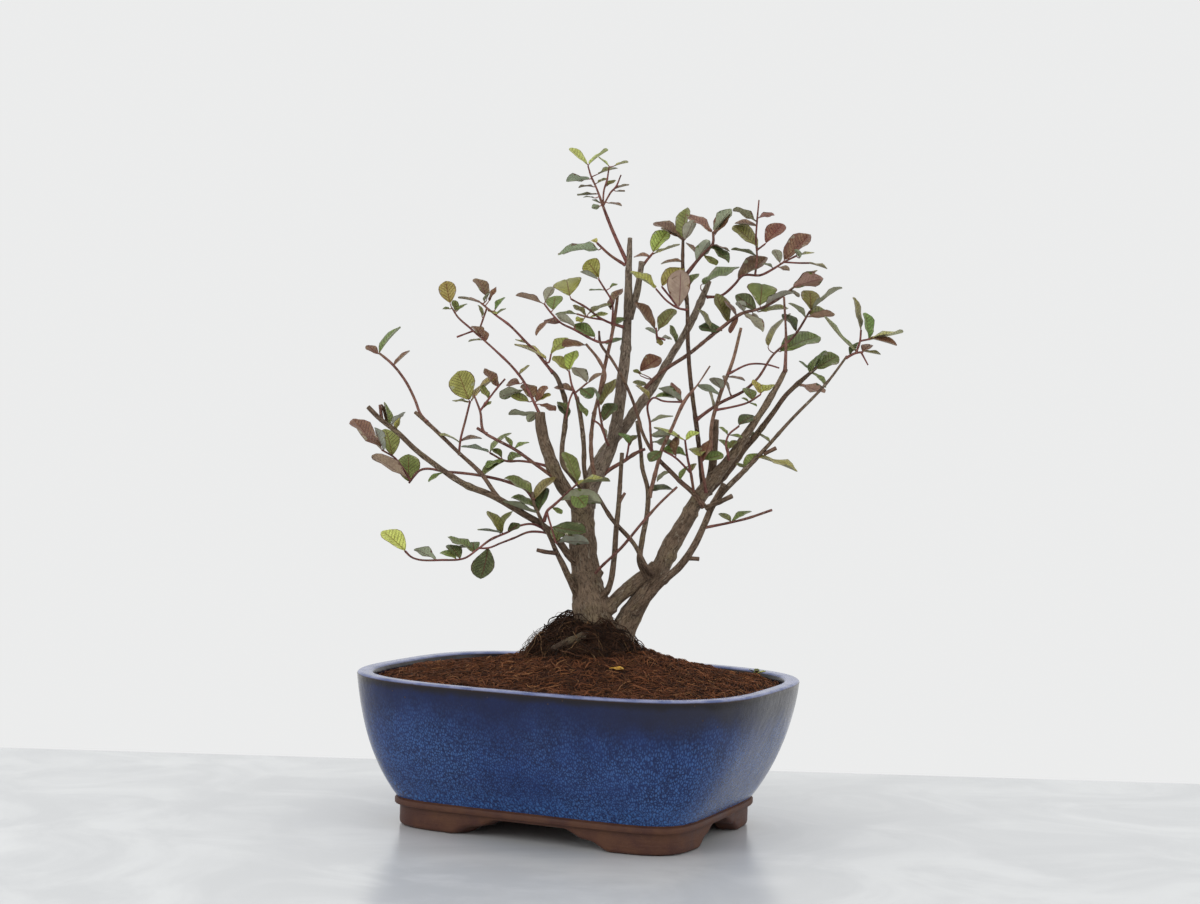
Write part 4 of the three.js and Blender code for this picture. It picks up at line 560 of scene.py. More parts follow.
def noise(points, size, seed=0):
    """Random values between -1 and 1 on a cubic lattice, blended smoothly between its corners."""
    scaled = np.asarray(points) / size + 100.5
    cell = np.floor(scaled).astype(np.int64)
    part = scaled - cell
    part = part * part * (3 - 2 * part)
    total = 0
    for corner in np.ndindex(2, 2, 2):
        weight = np.prod(np.where(corner, part, 1 - part), axis=-1)
        key = (cell + corner) @ CORNER_KEYS + seed * SEED_KEY
        key = (key ^ (key >> 5)) * SCATTER >> 7
        total = total + weight * LATTICE[key % len(LATTICE)]
    return total


def smooth(control, step):
    """A curve through the control rows, cubic between neighbours, with a row about every step."""
    chord = np.linalg.norm(np.diff(control[:, :3], axis=0), axis=1)
    run = np.concatenate([[0], np.cumsum(chord)])
    slope = np.gradient(control, run, axis=0)
    at = np.linspace(0, run[-1], max(3, int(run[-1] / step) + 2))
    k = np.clip(np.searchsorted(run, at, side="right") - 1, 0, len(chord) - 1)
    h = chord[k][:, None]
    u = (at - run[k])[:, None] / h
    return (
        (1 + 2 * u) * (1 - u) ** 2 * control[k]
        + u * (1 - u) ** 2 * h * slope[k]
        + u * u * (3 - 2 * u) * control[k + 1]
        + u * u * (u - 1) * h * slope[k + 1]
    )


class Shell:
    """Surfaces gathered for one piece: points, faces, and values for each point or face."""

    def __init__(self):
        self.points, self.faces, self.values, self.face_values = [], [], {}, {}
        self.count = 0

    def add(self, points, faces, values=None, face_values=None):
        """Adds points and lists of faces, each a whole-number array with one row for each face."""
        self.points.append(points)
        for rows in faces:
            self.faces.append(rows + self.count)
        for key, value in (values or {}).items():
            self.values.setdefault(key, []).append(np.broadcast_to(value, (len(points), 3)))
        for key, value in (face_values or {}).items():
            self.face_values.setdefault(key, []).append(value)
        self.count += len(points)

    def piece(self, name, slot, nodes, *materials, sharp=None):
        """Makes the mesh object, which rides on the root and stands for the CAD nodes."""
        mesh = bpy.data.meshes.new(name)
        points = np.concatenate(self.points)
        corners = np.concatenate([rows.ravel() for rows in self.faces]).astype(np.int32)
        totals = np.concatenate([np.full(len(rows), rows.shape[1], np.int32) for rows in self.faces])
        mesh.vertices.add(len(points))
        mesh.vertices.foreach_set("co", points.astype(np.float32).ravel())
        mesh.loops.add(len(corners))
        mesh.loops.foreach_set("vertex_index", corners)
        mesh.polygons.add(len(totals))
        mesh.polygons.foreach_set("loop_start", np.cumsum(totals, dtype=np.int32) - totals)
        mesh.update(calc_edges=True)
        mesh.polygons.foreach_set("use_smooth", np.ones(len(totals), bool))
        for key, parts in self.values.items():
            layer = mesh.attributes.new(key, "FLOAT_VECTOR", "POINT")
            layer.data.foreach_set("vector", np.concatenate(parts).astype(np.float32).ravel())
        for key, parts in self.face_values.items():
            layer = mesh.attributes.new(key, "FLOAT_COLOR", "CORNER")
            colours = np.repeat(np.concatenate(parts), totals, axis=0)
            layer.data.foreach_set("color", colours.astype(np.float32).ravel())
        if sharp is not None:
            mesh.set_sharp_from_angle(angle=np.radians(sharp))
        mesh.validate()
        made = bpy.data.objects.new(name, mesh)
        bpy.context.scene.collection.objects.link(made)
        for material in materials:
            mesh.materials.append(material)
        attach(made, "root")
        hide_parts(*nodes)
        return made


def grid_faces(rows, sides):
    """Quads between the rows of a grid whose last column joins its first."""
    i, j = np.meshgrid(np.arange(rows - 1), np.arange(sides), indexing="ij")
    k = (j + 1) % sides
    corners = [i * sides + j, i * sides + k, (i + 1) * sides + k, (i + 1) * sides + j]
    return np.stack(corners, -1).reshape(-1, 4)


def strand_faces(rows, sides):
    """Faces of a thin tube: quads between its rings and one face over each end."""
    loop = np.arange(sides)
    return grid_faces(rows, sides), np.stack([-loop % sides, (rows - 1) * sides + loop])


def repeated(faces, count, size):
    """The same faces for each of many equal parts, whose points follow one another."""
    offset = (np.arange(count) * size)[:, None, None]
    return [(rows[None] + offset).reshape(-1, rows.shape[1]) for rows in faces]


def closed_faces(rows, sides):
    """Faces of a row of rings, closed at both ends by fans to two more points, numbered after them."""
    j = np.arange(sides)
    k = (j + 1) % sides
    last = (rows - 1) * sides
    low = np.stack([np.full(sides, rows * sides), k, j], -1)
    high = np.stack([np.full(sides, rows * sides + 1), last + j, last + k], -1)
    return [grid_faces(rows, sides), low, high]


def round_about(tangent, facing, sides):
    """Directions all round each tangent and square to it."""
    angle = (np.arange(sides) * TAU / sides)[:, None]
    across = unit(np.cross(tangent, facing))
    other = np.cross(tangent, across)
    return across[..., None, :] * np.cos(angle) + other[..., None, :] * np.sin(angle)


def tube(shell, path, radius, sides, tint, facing=BACK, rough=0):
    """A tube of rings square to the path. A ring's points stand off by the radius, less or more by
    noise of a share rough; both ends are closed by two smaller rings and a point."""
    tangent = unit(np.gradient(path, axis=0))
    along = np.concatenate([[0], np.cumsum(np.linalg.norm(np.diff(path, axis=0), axis=1))])
    first = path[0] - tangent[0] * radius[0] * CAP_REACH[::-1, None]
    last = path[-1] + tangent[-1] * radius[-1] * CAP_REACH[:, None]
    path = np.concatenate([first, path, last])
    radius = np.concatenate([radius[0] * CAP_WIDTH[::-1], radius, radius[-1] * CAP_WIDTH])
    tangent, along = (np.concatenate([rows[[0, 0]], rows, rows[[-1, -1]]]) for rows in (tangent, along))
    ring = round_about(tangent, facing, sides)
    shape = (len(path), sides, 1)
    size = np.broadcast_to(radius[:, None, None], shape)
    angle = np.arange(sides) * TAU / sides
    around = radius[:, None, None] * np.stack([np.cos(angle), np.sin(angle)], -1)
    grain = np.concatenate([around, np.broadcast_to(along[:, None, None], shape)], -1)
    if rough:
        place = path[:, None] + ring * size
        stretched = grain * np.array([1, 1, 0.35]) + path[0] * 5
        bumps = noise(place, 5 * MM) * 0.6 + noise(stretched, 2.2 * MM, 5) * 0.4
        size = size * (1 + rough * bumps[..., None])
    points = (path[:, None] + ring * size).reshape(-1, 3)
    points = np.concatenate([points, path[:1], path[-1:]])
    grain = np.concatenate([grain.reshape(-1, 3), [[0, 0, 0], [0, 0, along[-1]]]])
    shell.add(points, closed_faces(len(path), sides), {"grain": grain, "tint": tint})


# Shader nodes


class Value:
    """A socket of a material's nodes; sums and products on it add the Math nodes."""

    def __init__(self, paint, socket):
        self.paint, self.socket = paint, socket

    def maths(self, operation, *others):
        return self.paint.node("ShaderNodeMath", {"operation": operation}, [self, *others])

    def __add__(self, other):
        return self.maths("ADD", other)

    def __sub__(self, other):
        return self.maths("SUBTRACT", other)

    def __rsub__(self, other):
        return self.paint.node("ShaderNodeMath", {"operation": "SUBTRACT"}, [other, self])

    def __mul__(self, other):
        return self.maths("MULTIPLY", other)

    def __abs__(self):
        return self.maths("ABSOLUTE")

    __radd__, __rmul__ = __add__, __mul__

    def ease(self, low, high, start=0.0, end=1.0):
        """From start to end while the value goes from low to high, level outside, smooth between."""
        settings = {"interpolation_type": "SMOOTHSTEP"}
        return self.paint.node("ShaderNodeMapRange", settings, [self, low, high, start, end])


class Paint:
    """A material and its nodes."""

    def __init__(self, name, roughness=0.5, specular=0.5, metallic=0.0):
        self.material = bpy.data.materials.new(name)
        self.material.use_nodes = True
        self.tree = self.material.node_tree
        self.shader = self.tree.nodes["Principled BSDF"]
        self.shader.inputs["Roughness"].default_value = roughness
        self.shader.inputs["Specular IOR Level"].default_value = specular
        self.shader.inputs["Metallic"].default_value = metallic

    def node(self, kind, settings=(), inputs=(), output=0):
        """Adds a node: its settings first, then each input's value or link, by place or by name."""
        made = self.tree.nodes.new(kind)
        for key, value in dict(settings).items():
            setattr(made, key, value)
        pairs = inputs.items() if isinstance(inputs, dict) else enumerate(inputs)
        for key, value in pairs:
            self.put(made.inputs[key], value)
        return Value(self, made.outputs[output])

    def put(self, socket, value):
        if isinstance(value, Value):
            self.tree.links.new(value.socket, socket)
        elif value is not None:
            socket.default_value = value

    def place(self):
        return self.node("ShaderNodeTexCoord", output="Object")

    def attribute(self, name, output="Vector"):
        return self.node("ShaderNodeAttribute", {"attribute_name": name}, output=output)

    def scaled(self, vector, scale):
        return self.node("ShaderNodeMapping", {}, {"Vector": vector, "Scale": scale})

    def parts(self, vector):
        made = self.node("ShaderNodeSeparateXYZ", {}, [vector])
        return [Value(self, socket) for socket in made.socket.node.outputs]

    def cloud(self, vector, size, detail=4.0, roughness=0.55, distortion=0.0):
        """Noise from 0 to 1 whose features are about the size, in metres."""
        inputs = {
            "Vector": vector,
            "Scale": 1 / size,
            "Detail": detail,
            "Roughness": roughness,
            "Distortion": distortion,
        }
        return self.node("ShaderNodeTexNoise", {}, inputs)

    def cells(self, vector, size, feature="DISTANCE_TO_EDGE"):
        """Distance from the edges between cells of about the size, or from their middles, in cells."""
        inputs = {"Vector": vector, "Scale": 1 / size, "Randomness": 1.0}
        return self.node("ShaderNodeTexVoronoi", {"feature": feature}, inputs, "Distance")

    def mix(self, share, first, second, blend="MIX"):
        """A colour between two colours."""
        made = self.node("ShaderNodeMix", {"data_type": "RGBA", "blend_type": blend})
        tool = made.socket.node
        for key, value in (("Factor_Float", share), ("A_Color", first), ("B_Color", second)):
            self.put(next(s for s in tool.inputs if s.identifier == key), value)
        return Value(self, next(s for s in tool.outputs if s.identifier == "Result_Color"))

    def finish(self, colour, height=None, depth=0.0, roughness=None):
        """Links the colour, a relief of the depth in metres, and the roughness."""
        self.put(self.shader.inputs["Base Color"], colour)
        if height is not None:
            inputs = {"Strength": 1.0, "Distance": depth, "Height": height}
            self.put(self.shader.inputs["Normal"], self.node("ShaderNodeBump", {}, inputs))
        if roughness is not None:
            self.put(self.shader.inputs["Roughness"], roughness)
        return self.material


def colour(code):
    """A colour written as six hexadecimal digits, as linear red, green, blue and alpha."""
    share = np.array([int(code[i : i + 2], 16) / 255 for i in (0, 2, 4)])
    linear = np.where(share <= 0.04045, share / 12.92, ((share + 0.055) / 1.055) ** 2.4)
    return (*linear.tolist(), 1.0)


# Camera, light and floor

# The camera sensor's width in millimetres, and the power of each light in watts
SENSOR = 36
KEY_POWER, SIDE_POWER, TOP_POWER = 4.5, 2.2, 3


def frame_of(axes, place):
    """A matrix whose columns are three axes and a place."""
    return Matrix([[*row, at] for row, at in zip(np.stack(axes, 1), place)] + [[0, 0, 0, 1]])


camera = bpy.data.objects.new("camera", bpy.data.cameras.new("camera"))
bpy.context.scene.collection.objects.link(camera)
camera.data.sensor_width = SENSOR
camera.data.lens = SENSOR * FOCAL / PICTURE[0]
camera.data.clip_start = 0.05
camera.data.clip_end = 50
camera.matrix_world = frame_of([RIGHT, UP, BACK], EYE)
bpy.context.scene.camera = camera
bpy.context.scene.view_settings.view_transform = "Standard"

world = bpy.data.worlds.new("studio")
world.use_nodes = True
world.node_tree.nodes["Background"].inputs["Color"].default_value = (0.95, 0.955, 0.955, 1)
world.node_tree.nodes["Background"].inputs["Strength"].default_value = 0.88
bpy.context.scene.world = world


def softbox(name, place, aim, width, height, power):
    """A rectangle of soft light that faces a point."""
    light = bpy.data.lights.new(name, "AREA")
    light.shape = "RECTANGLE"
    light.size, light.size_y = width, height
    light.energy = power
    lamp = bpy.data.objects.new(name, light)
    bpy.context.scene.collection.objects.link(lamp)
    back = unit(np.array(place, float) - np.array(aim, float))
    side = unit(np.cross([0.01, 0, 1], back))
    lamp.matrix_world = frame_of([side, np.cross(back, side), back], place)


softbox("key", EYE + RIGHT * -0.9 + UP * 0.9 - BACK * 0.2, (0, 0, 0.2), 1.2, 1.0, KEY_POWER)
softbox("side", EYE + RIGHT * 1.7 - BACK * 1.1 + UP * 0.1, (0, 0, 0.15), 0.8, 1.2, SIDE_POWER)
softbox("top", (0, 0.1, 1.5), (0, 0, 0.2), 1.6, 1.6, TOP_POWER)

# The table, whose far edge is seen behind the pot
TABLE_REACH = 1.4
TABLE_NEAR = 1.1
TABLE_FAR = -0.22
AHEAD = unit(BACK * [1, 1, 0])
TABLE_DROP = 0.2 * MM
corners = [
    POT_MIDDLE + LEVEL * side * TABLE_REACH + AHEAD * near - [0, 0, TABLE_DROP]
    for side, near in ((-1, TABLE_NEAR), (1, TABLE_NEAR), (1, TABLE_FAR), (-1, TABLE_FAR))
]
marble = Paint("pale_table", roughness=0.22)
clouds = marble.cloud(marble.place(), 0.12, detail=5, distortion=1.5)
table_mesh = bpy.data.meshes.new("table")
table_mesh.from_pydata([corner.tolist() for corner in corners], [], [range(4)])
veined = marble.mix(clouds.ease(0.35, 0.7), colour("cfd1d3"), colour("dfe1e2"))
table_mesh.materials.append(marble.finish(veined))
table_top = bpy.data.objects.new("table", table_mesh)
bpy.context.scene.collection.objects.link(table_top)

# Materials


def glaze():
    """Mottled blue glaze: fine upright flecks of mid blue on navy, which fade into a deep smooth band
    under the lip. The lip's edge is brown-black; its top is pale thin glaze with a painted reflection of
    the sky, and the right side near the rim is greyed by a painted sheen. Where the glaze ends it beads."""
    paint = Paint("blue_glaze", specular=0.3)
    place = paint.place()
    x, _, z = paint.parts(place)
    fall = POT_HEIGHT - z
    wide = paint.cloud(place, 55 * MM, detail=3)
    patch = paint.cloud(place, 13 * MM, detail=4)
    fine = paint.cloud(place, 1.5 * MM, detail=3, roughness=0.6)
    upright = paint.scaled(place, (1, 1, 0.45))
    fleck = (paint.cells(upright, 1.3 * MM) + (fine - 0.5) * 0.35).ease(0.0, 0.32)
    bead = (paint.cells(upright, 2.0 * MM) + (fine - 0.5) * 0.3).ease(0.05, 0.4)
    depth = fall + (patch - 0.5) * 8 * MM + (wide - 0.5) * 22 * MM
    dark = paint.mix(patch.ease(0.3, 0.7), colour("13214b"), colour("1a2d60"))
    light = paint.mix(wide.ease(0.35, 0.65), colour("305391"), colour("456daa"))
    blue = paint.mix(fleck * depth.ease(8 * MM, 46 * MM, 0.18, 0.82), dark, light)
    low = z.ease(19 * MM, 34 * MM, 1.0, 0.0)
    blue = paint.mix(low * bead * 0.6, blue, colour("4a83cc"))
    blue = paint.mix(depth.ease(7 * MM, 28 * MM, 0.8, 0.0), blue, colour("111b42"))
    # Painted sheen: the right side is greyed near the rim, a bright grazing reflection painted into the
    # colour.
    olive = x.ease(10 * MM, 110 * MM) * depth.ease(8 * MM, 26 * MM, 0.75, 0.0)
    blue = paint.mix(olive, blue, colour("2e2c2e"))
    brown = (fall + (patch - 0.5) * 5 * MM).ease(2.5 * MM, 7 * MM, 0.9, 0.0)
    blue = paint.mix(brown, blue, colour("1a1517"))
    # Painted reflection: the rim's top is pale lavender, thin glaze with a reflection of the sky painted
    # over it.
    top = (fall + (patch - 0.5) * 1.2 * MM).ease(0.5 * MM, 1.8 * MM, 1.0, 0.0)
    thin_glaze_sky_reflection = paint.mix(patch.ease(0.35, 0.65), colour("56628f"), colour("8a90b4"))
    blue = paint.mix(top, blue, thin_glaze_sky_reflection)
    lip = abs(fall - 1.7 * MM + (fine - 0.5) * 0.8 * MM).ease(0.1 * MM, 0.8 * MM, 0.9, 0.0)
    blue = paint.mix(lip, blue, colour("2a1b17"))
    chips = paint.cells(place, 7 * MM, "F1").ease(0.06, 0.1, 1.0, 0.0) * (wide * patch).ease(0.25, 0.33)
    blue = paint.mix(chips * 0.8, blue, colour("3c2a20"))
    height = paint.cloud(place, 9 * MM, detail=2) + fleck * 0.05 + (patch - 0.5) * 0.3
    return paint.finish(blue, height, 0.35 * MM, patch.ease(0.2, 0.8, 0.12, 0.24) + chips * 0.3)


def clay():
    """Unglazed red-brown clay, a little darker in the hollows, with fine grit."""
    paint = Paint("red_clay", specular=0.3)
    place = paint.place()
    cloud = paint.cloud(place, 14 * MM)
    grit = paint.cloud(place, 0.7 * MM, detail=3)
    lines = paint.cloud(paint.scaled(place, (0.06, 0.06, 1)), 1.1 * MM, detail=3)
    base = paint.mix(cloud.ease(0.3, 0.7), colour("4c2e26"), colour("61402f"))
    base = paint.mix(grit.ease(0.55, 0.75) * 0.35, base, colour("7c5546"))
    base = paint.mix(lines.ease(0.6, 0.75) * 0.3, base, colour("38211b"))
    return paint.finish(base, grit * 0.4 + lines, 0.25 * MM, cloud.ease(0.3, 0.7, 0.5, 0.68))


def peat():
    """Dark crumbs of coir between the fibres."""
    paint = Paint("coir_crumbs", roughness=0.95, specular=0.2)
    place = paint.place()
    crumb = paint.cloud(place, 2.2 * MM, detail=6, roughness=0.7)
    cloud = paint.cloud(place, 20 * MM)
    base = paint.mix(crumb.ease(0.35, 0.7), colour("1c0f0a"), colour("54301f"))
    base = paint.mix(cloud.ease(0.4, 0.65) * 0.4, base, colour("382014"))
    return paint.finish(base, crumb, 1.6 * MM)


def fibre(name, dark, light):
    """Thread-like matter in the colour of each thread, paler and darker by turns along it."""
    paint = Paint(name, roughness=0.85, specular=0.25)
    tint = paint.attribute("tint", "Color")
    shade = paint.cloud(paint.place(), 1.5 * MM, detail=2)
    base = paint.mix(shade.ease(0.3, 0.7), colour(dark), colour(light))
    return paint.finish(paint.mix(0.72, base, tint))


def bark():
    """Bark in the stem's own colour: short furrows, paler flakes and dark pits, and on old stems broad
    dark and olive patches."""
    paint = Paint("bark", specular=0.25)
    grain = paint.attribute("grain")
    tint = paint.attribute("tint", "Color")
    place = paint.place()
    drawn, flat = paint.scaled(grain, (1, 1, 0.3)), paint.scaled(grain, (1, 1, 0.5))
    furrow = paint.cloud(drawn, 0.9 * MM, detail=6, roughness=0.7, distortion=0.8)
    flake = paint.cloud(flat, 3.2 * MM, detail=5, roughness=0.65, distortion=1.2)
    broad = paint.cloud(place, 16 * MM, detail=3)
    fine = paint.cloud(place, 0.6 * MM, detail=3)
    dark = paint.mix(1.0, tint, (0.3, 0.27, 0.25, 1), "MULTIPLY")
    pale = paint.mix(0.6, tint, colour("bfb3a0"))
    base = paint.mix(broad.ease(0.48, 0.7) * 0.45, tint, paint.mix(0.5, tint, colour("8f8a5e")))
    base = paint.mix(broad.ease(0.5, 0.3) * 0.5, base, dark)
    base = paint.mix(furrow.ease(0.36, 0.56), dark, base)
    base = paint.mix(flake.ease(0.54, 0.64) * furrow.ease(0.42, 0.56) * 0.8, base, pale)
    base = paint.mix(fine.ease(0.6, 0.8) * 0.25, base, dark)
    height = furrow + flake.ease(0.5, 0.62) * 0.6 + fine * 0.15
    return paint.finish(base, height, 0.8 * MM, furrow.ease(0.3, 0.7, 0.9, 0.65))


def leaf():
    """A myrtle leaf: panels that swell between its side veins and a fine net, a dark-red midrib and a
    thin dark-red margin. The underside is duller and paler, and its veins stand out."""
    paint = Paint("leaf", specular=0.25)
    tone = paint.attribute("tone", "Color")
    under = paint.attribute("tone", "Alpha")
    blade = paint.attribute("blade")
    across, along, chance = paint.parts(blade)
    edge, share, _ = paint.parts(paint.attribute("share"))
    side = abs(across)
    bent = paint.cloud(blade, 3.0, detail=1)
    step = ((along - side * 0.8) * 0.44 + bent * 0.3 + chance * 7).maths("FRACT")
    rib = abs(step - 0.5).ease(0.02, 0.14, 1.0, 0.0) * edge.ease(0.8, 0.97, 1.0, 0.0)
    middle = side.ease(0.16, 0.38, 1.0, 0.0) * share.ease(0.8, 0.98, 1.0, 0.0)
    net = paint.cells(blade, 1.15).ease(0.02, 0.14, 1.0, 0.0)
    blotch = paint.cloud(blade, 5.0, detail=4)
    rim = (edge + (blotch - 0.5) * 0.06).ease(0.9, 0.975)
    darker = paint.mix(1.0, tone, (0.55, 0.5, 0.42, 1), "MULTIPLY")
    lighter = paint.mix(0.25, tone, colour("e0dca0"))
    base = paint.mix(blotch.ease(0.3, 0.62) * 0.5 + 0.5, darker, tone)
    base = paint.mix((1 - net) * blotch.ease(0.45, 0.7) * 0.6, base, lighter)
    sunk = paint.mix(0.6, darker, colour("4a2a26"))
    raised = paint.mix(0.35, lighter, colour("8a5a5a"))
    base = paint.mix((rib * 0.7 + net * 0.35) * (1 - middle), base, paint.mix(under, sunk, raised))
    base = paint.mix(middle * 0.85, base, paint.mix(0.25, colour("6b2429"), tone))
    base = paint.mix(rim * 0.85, base, colour("521d24"))
    relief = (rib * 0.7 + middle + net * 0.35) * (under * 2 - 1) + blotch * 0.4
    return paint.finish(base, relief, 0.22 * MM, under * 0.3 + blotch.ease(0.3, 0.7, 0.3, 0.42))


# Pot

LIP = 1.9 * MM
INNER_LIP = 2.2 * MM
BAND_LOW = 12.8 * MM
BAND_HIGH = 16.2 * MM
WALL_ROWS = 44
BODY_SIDES = 360
FOOT_SIDES = 720
CUTTER_SIDES = 40


def outline(angle, inset, share):
    """Points round the pot at polar angles. Its outline is a superellipse, |x/a|^n + |y/b|^n = 1, whose
    squareness n goes from the rim's to the base's with the share."""
    squareness = RIM_SQUARENESS + (BASE_SQUARENESS - RIM_SQUARENESS) * share
    half_x, half_y = POT_LENGTH / 2 - inset, POT_WIDTH / 2 - inset
    power = (abs(np.cos(angle)) / half_x) ** squareness + (abs(np.sin(angle)) / half_y) ** squareness
    reach = power ** (-1 / squareness)
    return np.stack([reach * np.cos(angle), reach * np.sin(angle)], -1)


def wall_at(z):
    """Inset of the outer wall, which bulges between the rim and the glaze's edge, and its squareness."""
    fall = np.clip((POT_HEIGHT - z) / (POT_HEIGHT - GLAZE_EDGE), 0, 1)
    return BASE_INSET * (1 - (1 - fall**WALL_FALL) ** WALL_TURN), fall**WALL_SQUARING


def lathe(rings, sides):
    """A grid of points with a ring of the pot's outline for each inset, height and share."""
    angle = np.arange(sides) * TAU / sides
    inset, height, share = (np.array(column, float)[:, None] for column in zip(*rings))
    flat = outline(angle[None], inset, share)
    level = np.broadcast_to(height[..., None], (*flat.shape[:2], 1))
    return np.concatenate([flat, level], -1)


def close_lathe(grid, low, high):
    """A shell of a grid of rings, closed by a point under the first and a point above the last."""
    rows, sides = grid.shape[:2]
    shell = Shell()
    points = np.concatenate([grid.reshape(-1, 3), [low, high]]) + POT_MIDDLE
    shell.add(points, closed_faces(rows, sides))
    return shell


def glazed_body():
    """The glazed wall with its rounded lip, the clay band under it and the pot's floor."""
    band = (
        (FOOT_INSET + 40 * MM, FOOT_HEIGHT),
        (FOOT_INSET + 0.6 * MM, FOOT_HEIGHT),
        (FOOT_INSET, FOOT_HEIGHT + 0.3 * MM),
        (FOOT_INSET, BAND_LOW - 0.4 * MM),
        (BAND_INSET + 0.3 * MM, BAND_LOW),
        (BAND_INSET, BAND_LOW + 0.5 * MM),
        (BAND_INSET, BAND_HIGH - 0.4 * MM),
        (BAND_INSET + 0.3 * MM, BAND_HIGH),
        (BASE_INSET + 0.4 * MM, BAND_HIGH + 0.3 * MM),
    )
    rings = [(inset, height, 1) for inset, height in band]
    for z in np.linspace(GLAZE_EDGE, POT_HEIGHT - LIP, WALL_ROWS):
        inset, fall = wall_at(z)
        rings.append((inset + 0.15 * MM, z, fall))
    for a in np.radians([8, 30, 52, 72, 90]):
        rings.append((0.1 * MM + LIP * (1 - np.cos(a)), POT_HEIGHT + LIP * (np.sin(a) - 1), 0))
    rings.append((WALL / 2, POT_HEIGHT - 0.05 * MM, 0))
    for a in np.radians([90, 65, 40, 15]):
        height = POT_HEIGHT - 0.1 * MM + INNER_LIP * (np.sin(a) - 1)
        rings.append((WALL + INNER_LIP * (np.cos(a) - 1), height, 0))
    for z in np.linspace(POT_HEIGHT - 4 * MM, FLOOR_TOP, 16):
        inset, fall = wall_at(z)
        rings.append((inset + WALL, z, fall))
    rings.append((WALL + BASE_INSET + 35 * MM, FLOOR_TOP, 1))
    return close_lathe(lathe(rings, BODY_SIDES), (0, 0, FOOT_HEIGHT), (0, 0, FLOOR_TOP))


def drain_cutters():
    """Two short rods where the drain holes go through the floor."""
    angle = np.arange(CUTTER_SIDES) * TAU / CUTTER_SIDES
    ring = np.stack([np.cos(angle), np.sin(angle), 0 * angle], -1) * DRAIN_RADIUS
    ends = np.array([[0, 0, 5], [0, 0, 25]]) * MM
    faces = [face for rows in closed_faces(2, CUTTER_SIDES) for face in rows.tolist()]
    made = []
    for side in (-1, 1):
        centre = POT_MIDDLE + [side * DRAIN_SPACING / 2, 0, 0]
        points = np.concatenate([ring + centre + ends[0], ring + centre + ends[1], centre + ends])
        mesh = bpy.data.meshes.new("cutter")
        mesh.from_pydata(points.tolist(), [], faces)
        cutter = bpy.data.objects.new("cutter", mesh)
        bpy.context.scene.collection.objects.link(cutter)
        made.append(cutter)
    return made


def drill(piece, cutters):
    """Cuts the cutters out of a piece's mesh and removes them."""
    for cutter in cutters:
        tool = piece.modifiers.new("drain", "BOOLEAN")
        tool.operation = "DIFFERENCE"
        tool.solver = "EXACT"
        tool.object = cutter
    done = bpy.data.meshes.new_from_object(piece.evaluated_get(bpy.context.evaluated_depsgraph_get()))
    piece.modifiers.clear()
    piece.data = done
    for cutter in cutters:
        bpy.data.objects.remove(cutter)


def arch_height(across, spans):
    """Height of the stepped arch at a distance from its middle, with its corners eased."""
    spots = [abs(across) + ease * MM for ease in (-1, 0, 1)]
    return sum(np.interp(spot, spans[::-1], ARCH_HEIGHTS[::-1]) for spot in spots) / 3


def foot_ring():
    """The clay ring under the pot. Its lower edge rises over a stepped arch on each side."""
    angle = np.arange(FOOT_SIDES) * TAU / FOOT_SIDES
    edge = outline(angle, FOOT_INSET, 1)
    middle = outline(angle, FOOT_INSET + FOOT_THICKNESS / 2, 1)
    front = arch_height(middle[:, 0] - FRONT_ARCH_SHIFT, FRONT_ARCH)
    side = arch_height(middle[:, 1], SIDE_ARCH)
    long_side = abs(edge[:, 1]) > (POT_WIDTH / 2 - FOOT_INSET) - 8 * MM
    low = np.where(long_side, front, side)
    top = FOOT_HEIGHT + 0.3 * MM
    round_over = np.minimum(2.2 * MM, 0.8 * (top - low))
    turn = np.radians([0, 22, 45, 68, 90])
    outer = [(round_over * (1 - np.cos(a)), low + round_over * (1 - np.sin(a))) for a in turn]
    inner = [(FOOT_THICKNESS - inset, height) for inset, height in outer[::-1]]
    loop = [(0 * low, top + 0 * low), *outer, *inner, (FOOT_THICKNESS + 0 * low, top + 0 * low)]
    rows = []
    for inset, height in loop:
        flat = outline(angle, FOOT_INSET + inset, 1)
        rows.append(np.concatenate([flat, height[:, None]], -1))
    rows.append(rows[0])
    grid = np.stack(rows[::-1])
    shell = Shell()
    closed = grid_faces(len(rows), FOOT_SIDES)
    last = (len(rows) - 1) * FOOT_SIDES
    closed = np.where(closed >= last, closed - last, closed)
    shell.add(grid[:-1].reshape(-1, 3) + POT_MIDDLE, [closed])
    return shell


blue, terracotta = glaze(), clay()
pot_piece = glazed_body().piece("pot_body", "blue_glaze", ["pot"], blue, terracotta, sharp=50)
drill(pot_piece, drain_cutters())
heights = np.array([face.center.z for face in pot_piece.data.polygons])
upwards = np.array([face.normal.z for face in pot_piece.data.polygons])
under_glaze = heights < GLAZE_EDGE - 0.2 * MM
floor_top = (abs(heights - FLOOR_TOP + 0.05 * MM) < 0.05 * MM) & (upwards > -0.2)
pot_piece.data.polygons.foreach_set("material_index", (under_glaze | floor_top).astype(np.int32))
foot_ring().piece("pot_feet", "blue_glaze", ["pot"], terracotta, sharp=60)


# Potting mix, roots and fibres

SOIL_FLOOR = FLOOR_TOP + 1.6 * MM
SOIL_GAP = 0.3 * MM
SOIL_SIDES = 260
SOIL_ROWS = 90
SKIRT_ROWS = 10
ROOT_SIDES = 120
ROOT_ROWS = 70
# Points along a fibre and along a fine root, and sides of both
FIBRE_STEPS = 7
ROOT_STEPS = 8
THREAD_SIDES = 3
# Half lengths of the oval round the trunks that most fibres leave bare
BARE = np.array([31, 26]) * MM
# Where fibres start and end at the most, as shares of the way to the wall
FIBRE_START = 0.965
FIBRE_END = 0.975


def mound(x, y):
    """Height of the heap round the trunk over the flat mix."""
    away = ((x - MOUND_PLACE[0]) / MOUND_SPREAD[0]) ** 2 + ((y - MOUND_PLACE[1]) / MOUND_SPREAD[1]) ** 2
    return MOUND_HEIGHT * np.exp(-away)


